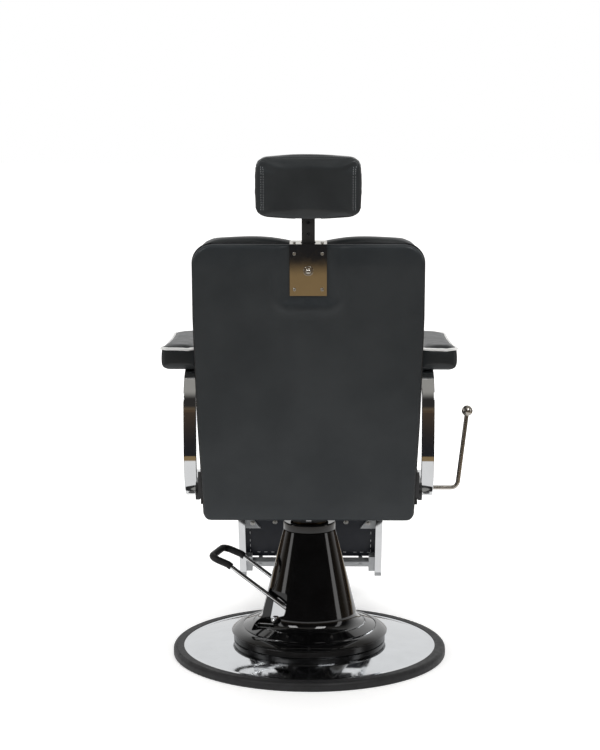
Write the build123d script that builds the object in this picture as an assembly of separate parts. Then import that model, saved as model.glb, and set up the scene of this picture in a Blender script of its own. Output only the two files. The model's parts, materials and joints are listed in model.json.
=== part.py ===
from build123d import *
import math
import os

# Hydraulic barber chair. Millimetres, +Z up, origin on the floor at the centre of the round base.
# The chair faces -Y. "Left" and "right" are the sitter's: left is +X, right is -X.

# ---------------------------------------------------------------- driving dimensions
FIT = 0.05                     # radial clearance of every running fit
SOFT_GAP = 0.3                 # clearance of soft parts and of parts that only pass each other
SIDES = (1, -1)

# base
BASE_R = 325.0                 # rubber edge ring, outside
RING_W = 25.0
RING_H = 21.0
PLATE_T = 6.0
PLATE_RIM_Z = 17.7             # rim and inner rib that the cover sits on
COVER_T = 2.3
COVER_TOP_Z = 34.5
COVER_FLAT_R = 165.0
COVER_HOLE_R = 128.0

# skirt (the cone that hides the pump)
SKIRT_RING_R = 181.0
SKIRT_RING_H = 15.5
SKIRT_BRIM_R = 185.5
SKIRT_BRIM_Z = 55.0
SKIRT_SHOULDER_R = 158.0
SKIRT_SHOULDER_Z = 67.0
SKIRT_TOP_R = 62.0
SKIRT_TOP_Z = 300.0
SKIRT_SLOPE = 0.252            # radius gained per millimetre of drop
SKIRT_WALL = 3.5
SKIRT_FOOT_Z = 102.0           # where the straight cone ends and the fillet to the brim starts

# pump
FLANGE_R = 112.0
FLANGE_T = 12.0
CYLINDER_R = 42.0
CYLINDER_TOP_Z = 288.0
BOLT_CIRCLE_R = 92.0
BOLT_R = 6.0
BOLT_GRIP = 4.5                # thread in the base plate
GLAND_H = 10.0
RAM_R = 25.0
RAM_BOTTOM_Z = 70.0
RAM_FLANGE_R = 45.0
RAM_FLANGE_Z = 308.0
RAM_FLANGE_T = 8.0
SPIGOT_R = 20.0
SPIGOT_TOP_Z = 364.0
COLLAR_BOTTOM_Z = 302.0
COLLAR_LID_T = 4.0
WASHER_T = 3.0

# pump lever, in its own frame: x outward along the lever, y across it
LEVER_ANGLE = -14.1            # heading of the lever about +Z
LEVER_PIVOT = (70.7, 85.0)     # (x, z)
LEVER_HALF = 54.5              # rod centre from the lever's middle plane
LEVER_ROD_R = 5.0
LEVER_SLOPE = 0.68
LEVER_ROOT_X = 36.0
LEVER_ROOT_Z = 111.8
LEVER_KNEE_X = 186.0
TREAD_X = 229.0
TREAD_RISE = 15.5
GRIP_R = 8.3
GRIP_START_X = 178.0
CHEEK_IN = 44.5
CHEEK_OUT = 51.0
SHAFT_R = 6.0
ROCKER_ARM = 26.3
ROCKER_REST = 14.0             # degrees above level at rest, and as much below at full stroke
ROCKER_NOSE_R = 8.0
PLUNGER_R = 7.0
PLUNGER_HEAD_R = 10.0
PLUNGER_BOTTOM_Z = 38.0
BLOCK_TOP_Z = 54.0
SPRING_WIRE_R = 0.9
SPRING_MEAN_R = 8.6
SPRING_TURNS = 4.2

# pockets in the skirt, one beside each lever rod
POCKET_X = (30.0, 118.0)
POCKET_Y = (43.0, 104.0)
POCKET_Z = (68.0, 162.0)
POCKET_WALL = 3.0

# seat frame
SWIVEL_PLATE = (240.0, 200.0, 8.0)
SWIVEL_PLATE_Z = 367.0
BOSS_R = 45.0
RAIL_X = 120.0
RAIL_W = 40.0
RAIL_H = 25.0
RAIL_Y = (-250.0, 195.0)
TUBE_W = 30.0
TUBE_H = 32.0
TUBE_WALL = 2.5
CROSS_Y = (-211.0, 20.0, 175.0)
SIDE_IN = 246.0                # inner face of the side plates
SIDE_T = 7.7
THROUGH = SIDE_IN + SIDE_T + 100  # reach of cuts that pass through both sides
SIDE_BOTTOM_Z = 402.0
SIDE_TOP_Z = 450.0
SIDE_Y = (-150.0, 150.0)

# arms
BAND_W = 29.0
BAND_X = (SIDE_IN + SIDE_T + SOFT_GAP, SIDE_IN + SIDE_T + SOFT_GAP + BAND_W)
BAND_T = 12.0
BAND_BOTTOM_Z = 405.0
BAND_REAR_Y = 210.0
BAND_TOP_R = 87.0
BAND_FOOT_R = 110.0
BAND_FRONT_Y = -132.0
ARM_TOP_Z = 757.0
ARM_H = 55.0
ARM_W = 87.5
ARM_INBOARD = 3.5                # inner edge of the armrest, inboard of the band
ARM_X = (BAND_X[0] - ARM_INBOARD, BAND_X[0] - ARM_INBOARD + ARM_W)
ARM_Y = (-150.0, 160.0)
ARM_TAPER = 13.0               # the outer side draws in by this much towards the front
ARM_NOSE_R = 56.0
ARM_BOARD_T = 8.0
ARM_BOARD_INSET = (13.5, 26.0)   # from the armrest's inner and outer sides
ARM_BOARD_X = (ARM_X[0] + ARM_BOARD_INSET[0], ARM_X[1] - ARM_BOARD_INSET[1])
ARM_BOARD_Y = (-88.0, 132.0)
PLUG_R = 8.0
PLUG_DEPTH = 5.0
PLUG_ANGLE = 60.0                # place of the plug on the lower bend, below level
SCREW_R = 3.0

# seat
SEAT_BOARD_T = 12.0
SEAT_SIDE_GAP = 10.0
SEAT_HALF = SIDE_IN - SEAT_SIDE_GAP
SEAT_Y = (-278.0, 206.0)
SEAT_TOP_Z = 515.0

# recline
RECLINE_PIVOT = (235.0, 440.0)  # (y, z)
RECLINE_SHAFT_R = 8.0
RECLINE_TRAVEL = 45.0
CRANK_R = 56.3
CRANK_REST = RECLINE_TRAVEL / 2  # the cranks hang straight down at mid travel
CRANK_PIN_R = 5.0
GAS_PIN_R = 4.0
LINK_X = (159.0, 165.5)
LINK_H = 16.0
LEG_PIVOT = (-245.0, 408.0)     # (y, z)
LEG_SHAFT_R = 8.0

# gas spring
GAS_R = 11.0
GAS_WALL = 2.0
GAS_ROD_R = 4.0
GAS_EYE_HALF = 6.0
GAS_FRONT_Y = -40.0
GAS_BODY_Y = (-25.0, 155.0)
GAS_SLOT = (14.0, 9.0)
GAS_SLOT_DROP = 2.15            # the crank pin dips by twice this at mid travel

# recline lever
RELEASE_Y = 121.0
RELEASE_Z = 425.5
RELEASE_ROD_R = 5.0
RELEASE_BEND_X = -(ARM_X[1] + 3)
RELEASE_BALL = (RELEASE_BEND_X - 21, 605.0)  # (x, z)
BALL_R = 12.5
CAM_ARM = 10.0
CAM_REST = 12.5
CAM_NOSE_R = 6.0
BUTTON_R = 3.0

# back, in its own frame: rear face at y = 0, lower edge at z = 0, then leaned
BACK_FOOT = (300.0, 385.0)      # (y, z) of the rear lower edge
BACK_LEAN = 12.0
BACK_H = 638.0
BACK_T = 94.0
BACK_GAIN = ((0.0, -14.0), (115.0, -9.2), (230.0, -4.0), (BACK_H - 168.0, 1.0), (BACK_H, 0.0))
BACK_HALF = [(height, SIDE_IN + gain) for height, gain in BACK_GAIN]
BACK_TOP_R = 60.0
PANEL_TOP_R = 44.0
BACK_FOOT_R = 16.0
PANEL_T = 13.5
HINGE_PLATE_T = 4.0
HINGE_EAR_T = 6.0
HINGE_EAR_GAP = 1.6
HINGE_EAR_X = (SIDE_IN - HINGE_EAR_GAP - HINGE_EAR_T, SIDE_IN - HINGE_EAR_GAP)
HINGE_PLATE_Z = (50.0, 112.0)
BACK_BOARD_T = 10.0
BACK_BOARD_INSET = 12.0
CUSHION_FOOT = 56.0

# headrest
POST_W = 28.0
POST_T = 8.0
POST_FACE = 5.3                 # depth of the post's rear face below the back's rear face
POST_DROP = 138.0                # foot of the post, below the back's top
POST_FOOT = BACK_H - POST_DROP
POST_HOLE_R = 4.5
POST_HOLE_PITCH = 26.0
HEAD_PIVOT_RISE = 65.6           # tilt pivot above the back's top
HEAD_PIVOT_H = BACK_H + HEAD_PIVOT_RISE
HEAD_LEAN = 5.0
HEAD_HALF = 109.0
HEAD_H = 128.0
HEAD_DROP = 7.0                 # pad below the pivot
HEAD_FRONT = 62.0
HEAD_REAR = 20.0
HEAD_BOARD_T = 12.0
EAR_T = 5.7
BRACKET_HALF = 39.3
BRACKET_T = 3.0
BRACKET_DROP = 111.0
BRACKET_Z = (BACK_H - BRACKET_DROP, BACK_H + SOFT_GAP)
GUIDE_WALL = 5.7
LOCK_DROP = 55.2
LOCK_Z = BACK_H - LOCK_DROP
PLATE_SCREW_DX = 29.5
PLATE_SCREW_DZ = 39.5
PLATE_MID_DROP = 57.0
PLATE_MID_Z = BACK_H - PLATE_MID_DROP

# leg rest, in its own frame: pivot at the origin, hanging along -z, front at -y, then leaned
LEG_LEAN = 30.0
LEG_BAR_X = (167.0, 184.0)
LEG_BAR_D = 30.0
LEG_LENGTH = 366.0
LEG_CAP_H = 14.0
CALF_BOARD = (182.0, -75.0, -330.0)
CALF_BOARD_T = 12.0
CALF_PAD_HALF = 180.0
CALF_PAD_Z = (-70.0, -329.0)
CALF_PAD_T = 48.0
FOOT_BAR_HALF = 151.0
FOOT_BAR_Z = (-331.0, -349.0)
FOOT_BAR_Y = (-12.0, 6.0)
FOOT_PIVOT = (-86.0, -340.0)    # (y, z)
FOOT_PIN_R = 5.0
FOOT_REST = 18.0                # degrees the plate drops from square to the legs
FOOT_PLATE_HALF = 140.0
FOOT_PLATE_L = 150.0
FOOT_PLATE_T = 10.0


# ---------------------------------------------------------------- helpers
def block(x, y, z):
    """Box from three (low, high) pairs in any order."""
    low = [min(pair) for pair in (x, y, z)]
    size = [abs(pair[1] - pair[0]) for pair in (x, y, z)]
    return Pos(*low) * Box(*size, align=(Align.MIN,) * 3)


def rod_x(radius, x0, x1, y, z):
    """Cylinder along X."""
    return Pos(min(x0, x1), y, z) * Rot(Y=90) * Cylinder(radius, abs(x1 - x0), align=(Align.CENTER, Align.CENTER, Align.MIN))


def rod_y(radius, y0, y1, x, z):
    """Cylinder along Y."""
    return Pos(x, min(y0, y1), z) * Rot(X=-90) * Cylinder(radius, abs(y1 - y0), align=(Align.CENTER, Align.CENTER, Align.MIN))


def rod_z(radius, z0, z1, x=0.0, y=0.0):
    """Cylinder along Z."""
    return Pos(x, y, min(z0, z1)) * Cylinder(radius, abs(z1 - z0), align=(Align.CENTER, Align.CENTER, Align.MIN))


def outline(points):
    """Closed polygon as a sketch."""
    return make_face(Polyline(*points, close=True))


def prism_x(sketch, x0, x1):
    """Sketch drawn in (Y, Z), carried from one X to another."""
    return Pos(min(x0, x1), 0, 0) * extrude(Plane.YZ * sketch, abs(x1 - x0), dir=(1, 0, 0))


def prism_y(sketch, y0, y1):
    """Sketch drawn in (X, Z), carried from one Y to another."""
    return Pos(0, min(y0, y1), 0) * extrude(Plane.XZ * sketch, abs(y1 - y0), dir=(0, 1, 0))


def turned(profile):
    """Profile drawn in (radius, Z), turned about +Z."""
    return revolve(Plane.XZ * profile, Axis.Z)


def disc_at(radius, a, b):
    """Circle in a sketch."""
    return Pos(a, b) * Circle(radius)


def hull_of(*discs):
    """Hull of circles given as (radius, a, b)."""
    edges = ShapeList()
    for radius, a, b in discs:
        edges += disc_at(radius, a, b).edges()
    return make_hull(edges)


def finger(hub, nose, neck_r):
    """Hub and rounded nose, joined by a narrower neck."""
    return disc_at(*hub) + disc_at(*nose) + hull_of((neck_r, *hub[1:]), (neck_r, *nose[1:]))


def group(*solids):
    """Separate solids kept as one node."""
    return Compound(list(solids))


def lean_back(solid):
    """Place a solid drawn in the back's own frame."""
    return Pos(0, *BACK_FOOT) * Rot(X=-BACK_LEAN) * solid


def hang_leg(solid):
    """Place a solid drawn in the leg rest's own frame."""
    return Pos(0, *LEG_PIVOT) * Rot(X=-LEG_LEAN) * solid


def head_place(solid):
    """Place a solid drawn about the headrest's tilt pivot."""
    pivot = Pos(0, -(POST_FACE + POST_T / 2), HEAD_PIVOT_H)
    return lean_back(pivot * Rot(X=BACK_LEAN - HEAD_LEAN) * solid)


def lever_place(solid):
    """Place a solid drawn in the pump lever's frame."""
    return Rot(Z=LEVER_ANGLE) * solid


# ---------------------------------------------------------------- base
RING_IN = BASE_R - RING_W
PLATE_R = RING_IN - SOFT_GAP
SKIRT_RING_TOP = COVER_TOP_Z + SKIRT_RING_H
FLANGE_TOP = PLATE_T + FLANGE_T
COVER_SEAT_Z = COVER_TOP_Z - COVER_T
BOLT_PLACES = [(BOLT_CIRCLE_R * math.cos(a), BOLT_CIRCLE_R * math.sin(a)) for a in (math.pi / 4 + k * math.pi / 2 for k in range(4))]


def make_base_ring():
    section = outline([(RING_IN, 0), (BASE_R, 0), (BASE_R, RING_H), (RING_IN, RING_H)])
    section = fillet(section.vertices().group_by(Axis.X)[-1].sort_by(Axis.Y)[-1], 9)
    section = fillet(section.vertices().group_by(Axis.X)[-1].sort_by(Axis.Y)[0], 3)
    return turned(section)


def make_base_plate():
    rib = COVER_SEAT_Z
    plate = turned(outline([
        (0, 0), (PLATE_R, 0), (PLATE_R, PLATE_RIM_Z), (PLATE_R - 12, PLATE_RIM_Z), (PLATE_R - 30, PLATE_T),
        (COVER_FLAT_R - 3, PLATE_T), (COVER_FLAT_R - 7, rib), (COVER_HOLE_R + 6, rib), (COVER_HOLE_R + 2, PLATE_T), (0, PLATE_T),
    ]))
    for x, y in BOLT_PLACES:
        plate -= rod_z(BOLT_R + FIT, PLATE_T - BOLT_GRIP - 0.5, PLATE_T, x, y)
    return plate


def make_base_disc():
    edge = PLATE_R
    bend = edge - 11
    middle = (bend + COVER_FLAT_R) / 2

    def dome(drop):
        rim = PLATE_RIM_Z + COVER_T - drop
        crown = COVER_TOP_Z - drop
        sag = rim + 0.66 * (crown - rim)
        return ThreePointArc((bend, rim), (middle, sag), (COVER_FLAT_R, crown))

    top, under = dome(0), dome(COVER_T)
    lines = [
        Line((edge, PLATE_RIM_Z), (edge, PLATE_RIM_Z + COVER_T)),
        Line((edge, PLATE_RIM_Z + COVER_T), (bend, PLATE_RIM_Z + COVER_T)),
        top,
        Line((COVER_FLAT_R, COVER_TOP_Z), (COVER_HOLE_R, COVER_TOP_Z)),
        Line((COVER_HOLE_R, COVER_TOP_Z), (COVER_HOLE_R, COVER_SEAT_Z)),
        Line((COVER_HOLE_R, COVER_SEAT_Z), (COVER_FLAT_R, COVER_SEAT_Z)),
        under,
        Line((bend, PLATE_RIM_Z), (edge, PLATE_RIM_Z)),
    ]
    return turned(make_face(Curve() + lines))


def make_skirt_ring():
    section = outline([(140, COVER_TOP_Z), (SKIRT_RING_R, COVER_TOP_Z), (SKIRT_RING_R, SKIRT_RING_TOP), (140, SKIRT_RING_TOP)])
    section = fillet(section.vertices().group_by(Axis.X)[-1], 2)
    return turned(section)


def skirt_solid(inset):
    """The skirt's filled outside shape, or its inside shape when inset by the wall."""
    top_r = SKIRT_TOP_R - inset
    top_z = SKIRT_TOP_Z - inset
    foot_r = top_r + SKIRT_SLOPE * (top_z - SKIRT_FOOT_Z)
    brim_r = SKIRT_BRIM_R - 3 * inset
    shoulder_z = SKIRT_SHOULDER_Z - inset
    shoulder_r = SKIRT_SHOULDER_R - inset
    root = (foot_r + 22, shoulder_z + 9.5)
    brim_bend = (brim_r - 8, SKIRT_BRIM_Z + 6.5 - inset / 2)
    lines = [
        Line((0, SKIRT_RING_TOP), (brim_r - 3, SKIRT_RING_TOP)),
        Line((brim_r - 3, SKIRT_RING_TOP), (brim_r, SKIRT_RING_TOP + 3)),
        Line((brim_r, SKIRT_RING_TOP + 3), (brim_r, SKIRT_BRIM_Z)),
        ThreePointArc((brim_r, SKIRT_BRIM_Z), brim_bend, (shoulder_r, shoulder_z)),
        Line((shoulder_r, shoulder_z), root),
        ThreePointArc(root, (foot_r + 6, shoulder_z + 18), (foot_r, SKIRT_FOOT_Z)),
        Line((foot_r, SKIRT_FOOT_Z), (top_r, top_z)),
        Line((top_r, top_z), (0, top_z)),
        Line((0, top_z), (0, SKIRT_RING_TOP)),
    ]
    return turned(make_face(Curve() + lines))


def lever_pockets(wall):
    """Both pockets, grown by a wall where they are taken out of the hollow."""
    pockets = []
    for side in SIDES:
        pocket = block(
            (POCKET_X[0] - wall, POCKET_X[1] + wall),
            (side * (POCKET_Y[0] - wall), side * (POCKET_Y[1] + wall)),
            (POCKET_Z[0] - wall, POCKET_Z[1] + wall),
        )
        pockets.append(lever_place(fillet(pocket.edges(), 7 + wall)))
    return pockets


def make_skirt():
    shell = skirt_solid(0)
    hollow = skirt_solid(SKIRT_WALL)
    for pocket in lever_pockets(0):
        shell -= pocket
    for pocket in lever_pockets(POCKET_WALL):
        hollow -= pocket
    shell -= hollow
    shell -= rod_z(CYLINDER_R + 4, SKIRT_TOP_Z - 2 * SKIRT_WALL, SKIRT_TOP_Z + 1)
    x, z = LEVER_PIVOT
    shell -= lever_place(rod_y(SHAFT_R + 0.8, -POCKET_Y[0] - 3, POCKET_Y[0] + 3, x, z))
    return shell


def make_pump_body():
    body = rod_z(FLANGE_R, PLATE_T, FLANGE_TOP)
    body += rod_z(CYLINDER_R, PLATE_T, CYLINDER_TOP_Z)
    pivot_x, pivot_z = LEVER_PIVOT
    lug = outline([
        (38, FLANGE_TOP), (92, FLANGE_TOP), (pivot_x + 14, pivot_z), (pivot_x + 8, pivot_z + 12),
        (pivot_x - 8, pivot_z + 12), (38, FLANGE_TOP + 40),
    ])
    for side in SIDES:
        body += lever_place(prism_y(lug, side * 18, side * 28))
    nose_x = pivot_x + ROCKER_ARM * math.cos(math.radians(ROCKER_REST))
    body += lever_place(block((nose_x - 13, nose_x + 13), (-14, 14), (PLATE_T, BLOCK_TOP_Z)))
    body -= lever_place(rod_y(SHAFT_R + FIT, -30, 30, pivot_x, pivot_z))
    body -= lever_place(rod_z(PLUNGER_R + FIT, FLANGE_T + PLATE_T, BLOCK_TOP_Z + 1, nose_x, 0))
    body -= rod_z(RAM_R + FIT, FLANGE_TOP - 4, CYLINDER_TOP_Z + 1)
    for x, y in BOLT_PLACES:
        body -= rod_z(BOLT_R + 0.5, PLATE_T - 1, FLANGE_TOP + 1, x, y)
    return body


def make_pump_bolts():
    bolts = []
    for x, y in BOLT_PLACES:
        head = Pos(x, y, FLANGE_TOP) * extrude(RegularPolygon(10.5, 6), 8)
        bolts.append(head + rod_z(BOLT_R, PLATE_T - BOLT_GRIP, FLANGE_TOP, x, y))
    return group(*bolts)


def make_pump_gland():
    ring = rod_z(CYLINDER_R + 2, CYLINDER_TOP_Z, CYLINDER_TOP_Z + GLAND_H)
    ring = fillet(ring.edges().group_by(Axis.Z)[-1], 2)
    return ring - rod_z(RAM_R + FIT, CYLINDER_TOP_Z - 1, CYLINDER_TOP_Z + GLAND_H + 1)


# ---------------------------------------------------------------- pump lever
def lever_path(start_x):
    """Centre line of the U-shaped rod, from one root to the other."""
    knee_z = LEVER_ROOT_Z + (LEVER_KNEE_X - LEVER_ROOT_X) * LEVER_SLOPE
    start_z = LEVER_ROOT_Z + (start_x - LEVER_ROOT_X) * LEVER_SLOPE
    half = [(start_x, LEVER_HALF, start_z), (LEVER_KNEE_X, LEVER_HALF, knee_z), (TREAD_X, LEVER_HALF, knee_z + TREAD_RISE)]
    other = [(x, -y, z) for x, y, z in reversed(half)]
    return FilletPolyline(*half, *other, radius=[14, 20, 20, 14])


def swept_rod(path, radius):
    return sweep(Plane(origin=path @ 0, z_dir=path % 0) * Circle(radius), path=path)


def make_lever_frame():
    frame = swept_rod(lever_path(LEVER_ROOT_X), LEVER_ROD_R)
    x, z = LEVER_PIVOT
    root = (8, LEVER_ROOT_X + 5, LEVER_ROOT_Z + 1)
    cheek = hull_of((12, x, z), root, (8, LEVER_ROOT_X + 30, LEVER_ROOT_Z + 20))
    for side in SIDES:
        frame += prism_y(cheek, side * CHEEK_IN, side * CHEEK_OUT)
    frame -= rod_y(SHAFT_R + FIT, -CHEEK_OUT - 1, CHEEK_OUT + 1, x, z)
    return lever_place(frame)


def make_lever_grip():
    sleeve = swept_rod(lever_path(GRIP_START_X), GRIP_R)
    return lever_place(sleeve - swept_rod(lever_path(LEVER_ROOT_X), LEVER_ROD_R))


def make_lever_shaft():
    x, z = LEVER_PIVOT
    pieces = [lever_place(rod_y(SHAFT_R, -CHEEK_OUT - 9, CHEEK_OUT + 9, x, z))]
    for side in SIDES:
        nut = Cylinder(9.5, 3, align=(Align.CENTER, Align.CENTER, Align.MIN))
        nut += Pos(0, 0, 3) * extrude(RegularPolygon(9.2, 6), 5)
        nut += Pos(0, 0, 8) * (Sphere(7.6) & Box(20, 20, 10, align=(Align.CENTER, Align.CENTER, Align.MIN)))
        nut -= Cylinder(SHAFT_R + FIT, 20, align=(Align.CENTER, Align.CENTER, Align.CENTER))
        place = Pos(x, side * CHEEK_OUT, z) * Rot(X=-90 * side)
        pieces.append(lever_place(place * nut))
    return group(*pieces)


def make_lever_rocker():
    x, z = LEVER_PIVOT
    nose_x = x + ROCKER_ARM * math.cos(math.radians(ROCKER_REST))
    nose_z = z + ROCKER_ARM * math.sin(math.radians(ROCKER_REST))
    arm = prism_y(finger((SHAFT_R + 4, x, z), (ROCKER_NOSE_R, nose_x, nose_z), 4), -9, 9)
    arm -= rod_y(SHAFT_R + FIT, -10, 10, x, z)
    return lever_place(arm)


def plunger_axis():
    """x in the lever's frame, and the height of the plunger's top face at rest."""
    x, z = LEVER_PIVOT
    rest = math.radians(ROCKER_REST)
    return x + ROCKER_ARM * math.cos(rest), z + ROCKER_ARM * math.sin(rest) - ROCKER_NOSE_R - 0.15


def make_pump_plunger():
    x, top = plunger_axis()
    return lever_place(rod_z(PLUNGER_R, PLUNGER_BOTTOM_Z, top - 4, x, 0) + rod_z(PLUNGER_HEAD_R, top - 4, top, x, 0))


def make_plunger_spring():
    x, top = plunger_axis()
    low = BLOCK_TOP_Z + SPRING_WIRE_R + 0.1
    high = top - 4 - SPRING_WIRE_R - 0.1
    helix = Helix(pitch=(high - low) / SPRING_TURNS, height=high - low, radius=SPRING_MEAN_R)
    wire = sweep(Plane(origin=helix @ 0, z_dir=helix % 0) * Circle(SPRING_WIRE_R), path=helix, is_frenet=True)
    return lever_place(Pos(x, 0, low) * wire)


# ---------------------------------------------------------------- ram and swivel
WASHER_Z = RAM_FLANGE_Z + RAM_FLANGE_T + COLLAR_LID_T
MOUNT_BOTTOM_Z = WASHER_Z + WASHER_T + 0.2
FRAME_Z = SWIVEL_PLATE_Z + SWIVEL_PLATE[2]
CROSS_Z = FRAME_Z + RAIL_H
BOARD_Z = CROSS_Z + TUBE_H


def make_ram():
    ram = rod_z(RAM_R, RAM_BOTTOM_Z, RAM_FLANGE_Z)
    ram += rod_z(RAM_FLANGE_R, RAM_FLANGE_Z, RAM_FLANGE_Z + RAM_FLANGE_T)
    return ram + rod_z(SPIGOT_R, RAM_FLANGE_Z, SPIGOT_TOP_Z)


def make_swivel_collar():
    cap = rod_z(SKIRT_TOP_R, COLLAR_BOTTOM_Z, WASHER_Z)
    cap = fillet(cap.edges().group_by(Axis.Z)[-1], 3)
    cap -= rod_z(RAM_FLANGE_R + SOFT_GAP, COLLAR_BOTTOM_Z - 1, WASHER_Z - COLLAR_LID_T)
    return cap - rod_z(SPIGOT_R + SOFT_GAP, COLLAR_BOTTOM_Z, WASHER_Z + 1)


def make_thrust_washer():
    return rod_z(BOSS_R - 5, WASHER_Z, WASHER_Z + WASHER_T) - rod_z(SPIGOT_R + 0.2, WASHER_Z - 1, WASHER_Z + WASHER_T + 1)


def gas_axis_z():
    """Height of the gas spring, and of the crank pins at rest and at the end of the travel."""
    return RECLINE_PIVOT[1] - CRANK_R * math.cos(math.radians(CRANK_REST))


def crank_pin_y():
    return RECLINE_PIVOT[0] + CRANK_R * math.sin(math.radians(CRANK_REST))


def make_seat_mount():
    length_x, length_y, thick = SWIVEL_PLATE
    plate = block((-length_x / 2, length_x / 2), (-length_y / 2, length_y / 2), (SWIVEL_PLATE_Z, FRAME_Z))
    plate = fillet(plate.edges().filter_by(Axis.Z), 15)
    mount = plate + rod_z(BOSS_R, MOUNT_BOTTOM_Z, SWIVEL_PLATE_Z)
    mount -= rod_z(SPIGOT_R + FIT, MOUNT_BOTTOM_Z - 1, SPIGOT_TOP_Z + 1)
    gas_z = gas_axis_z()
    for side in SIDES:
        lug = hull_of((10, GAS_FRONT_Y, gas_z), (3, GAS_FRONT_Y - 12, FRAME_Z), (3, GAS_FRONT_Y + 12, FRAME_Z))
        lug &= Pos(GAS_FRONT_Y, FRAME_Z + 20) * Rectangle(60, 40.0)
        mount += prism_x(lug, side * (GAS_EYE_HALF + 0.5), side * (GAS_EYE_HALF + 6.5))
    mount -= rod_x(GAS_PIN_R + FIT, -20, 20, GAS_FRONT_Y, gas_z)
    for x, y in frame_bolt_places():
        mount -= rod_z(5.3, SWIVEL_PLATE_Z - 1, FRAME_Z + 1, x, y)
    return mount


def frame_bolt_places():
    return [(sx * (RAIL_X - 12), sy * 70.0) for sx in SIDES for sy in SIDES]


# ---------------------------------------------------------------- seat frame
def box_tube(x, y, z, along):
    """Open rectangular tube along 'x' or 'y'."""
    outer = block(x, y, z)
    trim = TUBE_WALL
    if along == "x":
        inner = block((x[0] - 1, x[1] + 1), (y[0] + trim, y[1] - trim), (z[0] + trim, z[1] - trim))
    else:
        inner = block((x[0] + trim, x[1] - trim), (y[0] - 1, y[1] + 1), (z[0] + trim, z[1] - trim))
    return outer - inner


def leg_ears():
    """Ears that carry the leg rest's shaft, inside and outside each leg bar."""
    y, z = LEG_PIVOT
    tube_front = CROSS_Y[0] - TUBE_W / 2
    ear = hull_of((14, y, z), (4, tube_front + 4, CROSS_Z + 4), (4, tube_front + 4, BOARD_Z - 4))
    ear &= Pos(tube_front - 30, z) * Rectangle(60, 80)
    inner = (LINK_X[0] - 9, LINK_X[0] - 1)
    outer = (LEG_BAR_X[1] + 1, LEG_BAR_X[1] + 9)
    return [prism_x(ear, side * low, side * high) for side in SIDES for low, high in (inner, outer)]


def make_seat_frame():
    frame = None
    for side in SIDES:
        low, high = sorted((side * (RAIL_X - RAIL_W / 2), side * (RAIL_X + RAIL_W / 2)))
        rail = box_tube((low, high), RAIL_Y, (FRAME_Z, CROSS_Z), "y")
        frame = rail if frame is None else frame + rail
    for y in CROSS_Y:
        frame += box_tube((-SIDE_IN, SIDE_IN), (y - TUBE_W / 2, y + TUBE_W / 2), (CROSS_Z, BOARD_Z), "x")
    for ear in leg_ears():
        frame += ear
    lug_x = (-RAIL_X - 10, -RAIL_X)
    frame += block(lug_x, (RELEASE_Y - 12, RELEASE_Y + 12), (CROSS_Z, BOARD_Z - 0.2))
    frame -= rod_x(RELEASE_ROD_R + FIT, lug_x[0] - 1, lug_x[1] + 1, RELEASE_Y, RELEASE_Z)
    y, z = LEG_PIVOT
    frame -= rod_x(LEG_SHAFT_R + FIT, -THROUGH, THROUGH, y, z)
    for x, y in frame_bolt_places():
        frame -= rod_z(5.3, FRAME_Z - 1, FRAME_Z + TUBE_WALL + 1, x, y)
    return frame


def make_leg_shaft():
    y, z = LEG_PIVOT
    end = LEG_BAR_X[1] + 12
    return rod_x(LEG_SHAFT_R, -end, end, y, z)


def side_screw_places():
    """(y, z) of the screws into the cross tubes' ends, above the arm bands."""
    return [(y, BAND_BOTTOM_Z + BAND_T + 8) for y in CROSS_Y[:2]]


def band_screw_places():
    return [(y, BAND_BOTTOM_Z + BAND_T / 2) for y in (-105.0, -30.0, 80.0)]


def make_side_plates():
    y, z = RECLINE_PIVOT
    ear = hull_of((20, y, z), (6, SIDE_Y[1] - 30, SIDE_BOTTOM_Z + 6), (6, SIDE_Y[1] - 30, SIDE_TOP_Z + 2))
    low, high = SIDE_BOTTOM_Z, SIDE_TOP_Z
    front = outline([(SIDE_Y[0] - 70, low), (SIDE_Y[1] - 20, low), (SIDE_Y[1] - 20, high), (SIDE_Y[0] - 40, high), (SIDE_Y[0] - 70, high - 25)])
    plates = []
    for side in SIDES:
        plate = prism_x(front + ear, side * SIDE_IN, side * (SIDE_IN + SIDE_T))
        plate -= rod_x(RECLINE_SHAFT_R + 3, -THROUGH, THROUGH, y, z)
        for sy, sz in band_screw_places() + side_screw_places():
            plate -= rod_x(SCREW_R + FIT, -THROUGH, THROUGH, sy, sz)
        if side < 0:
            plate -= rod_x(RELEASE_ROD_R + FIT, -THROUGH, 0, RELEASE_Y, RELEASE_Z)
        plates.append(plate)
    return group(*plates)


def make_recline_bushes():
    y, z = RECLINE_PIVOT
    bushes = []
    for side in SIDES:
        bush = rod_x(RECLINE_SHAFT_R + 3 - 0.02, side * SIDE_IN, side * (SIDE_IN + SIDE_T), y, z)
        bushes.append(bush - rod_x(RECLINE_SHAFT_R + FIT, -THROUGH, THROUGH, y, z))
    return group(*bushes)


# ---------------------------------------------------------------- arms
BAND_TOP_Z = ARM_TOP_Z - ARM_H - SOFT_GAP


def band_face():
    """The C of one arm band, drawn in (Y, Z)."""
    def bent(inset):
        front = BAND_FRONT_Y - 20
        rear = BAND_REAR_Y - inset
        low = BAND_BOTTOM_Z + inset
        high = BAND_TOP_Z - inset
        face = outline([(front, low), (rear, low), (rear, high), (front, high)])
        face = fillet(face.vertices().group_by(Axis.X)[-1].sort_by(Axis.Y)[0], BAND_FOOT_R - inset)
        return fillet(face.vertices().group_by(Axis.X)[-1].sort_by(Axis.Y)[-1], BAND_TOP_R - inset)

    outer = bent(0)
    inner = bent(BAND_T)
    mid = (BAND_BOTTOM_Z + BAND_TOP_Z) / 2
    keep = Pos((BAND_FRONT_Y + BAND_REAR_Y + 1) / 2, mid) * Rectangle(BAND_REAR_Y + 1 - BAND_FRONT_Y, 400)
    return (outer - inner) & keep


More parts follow.
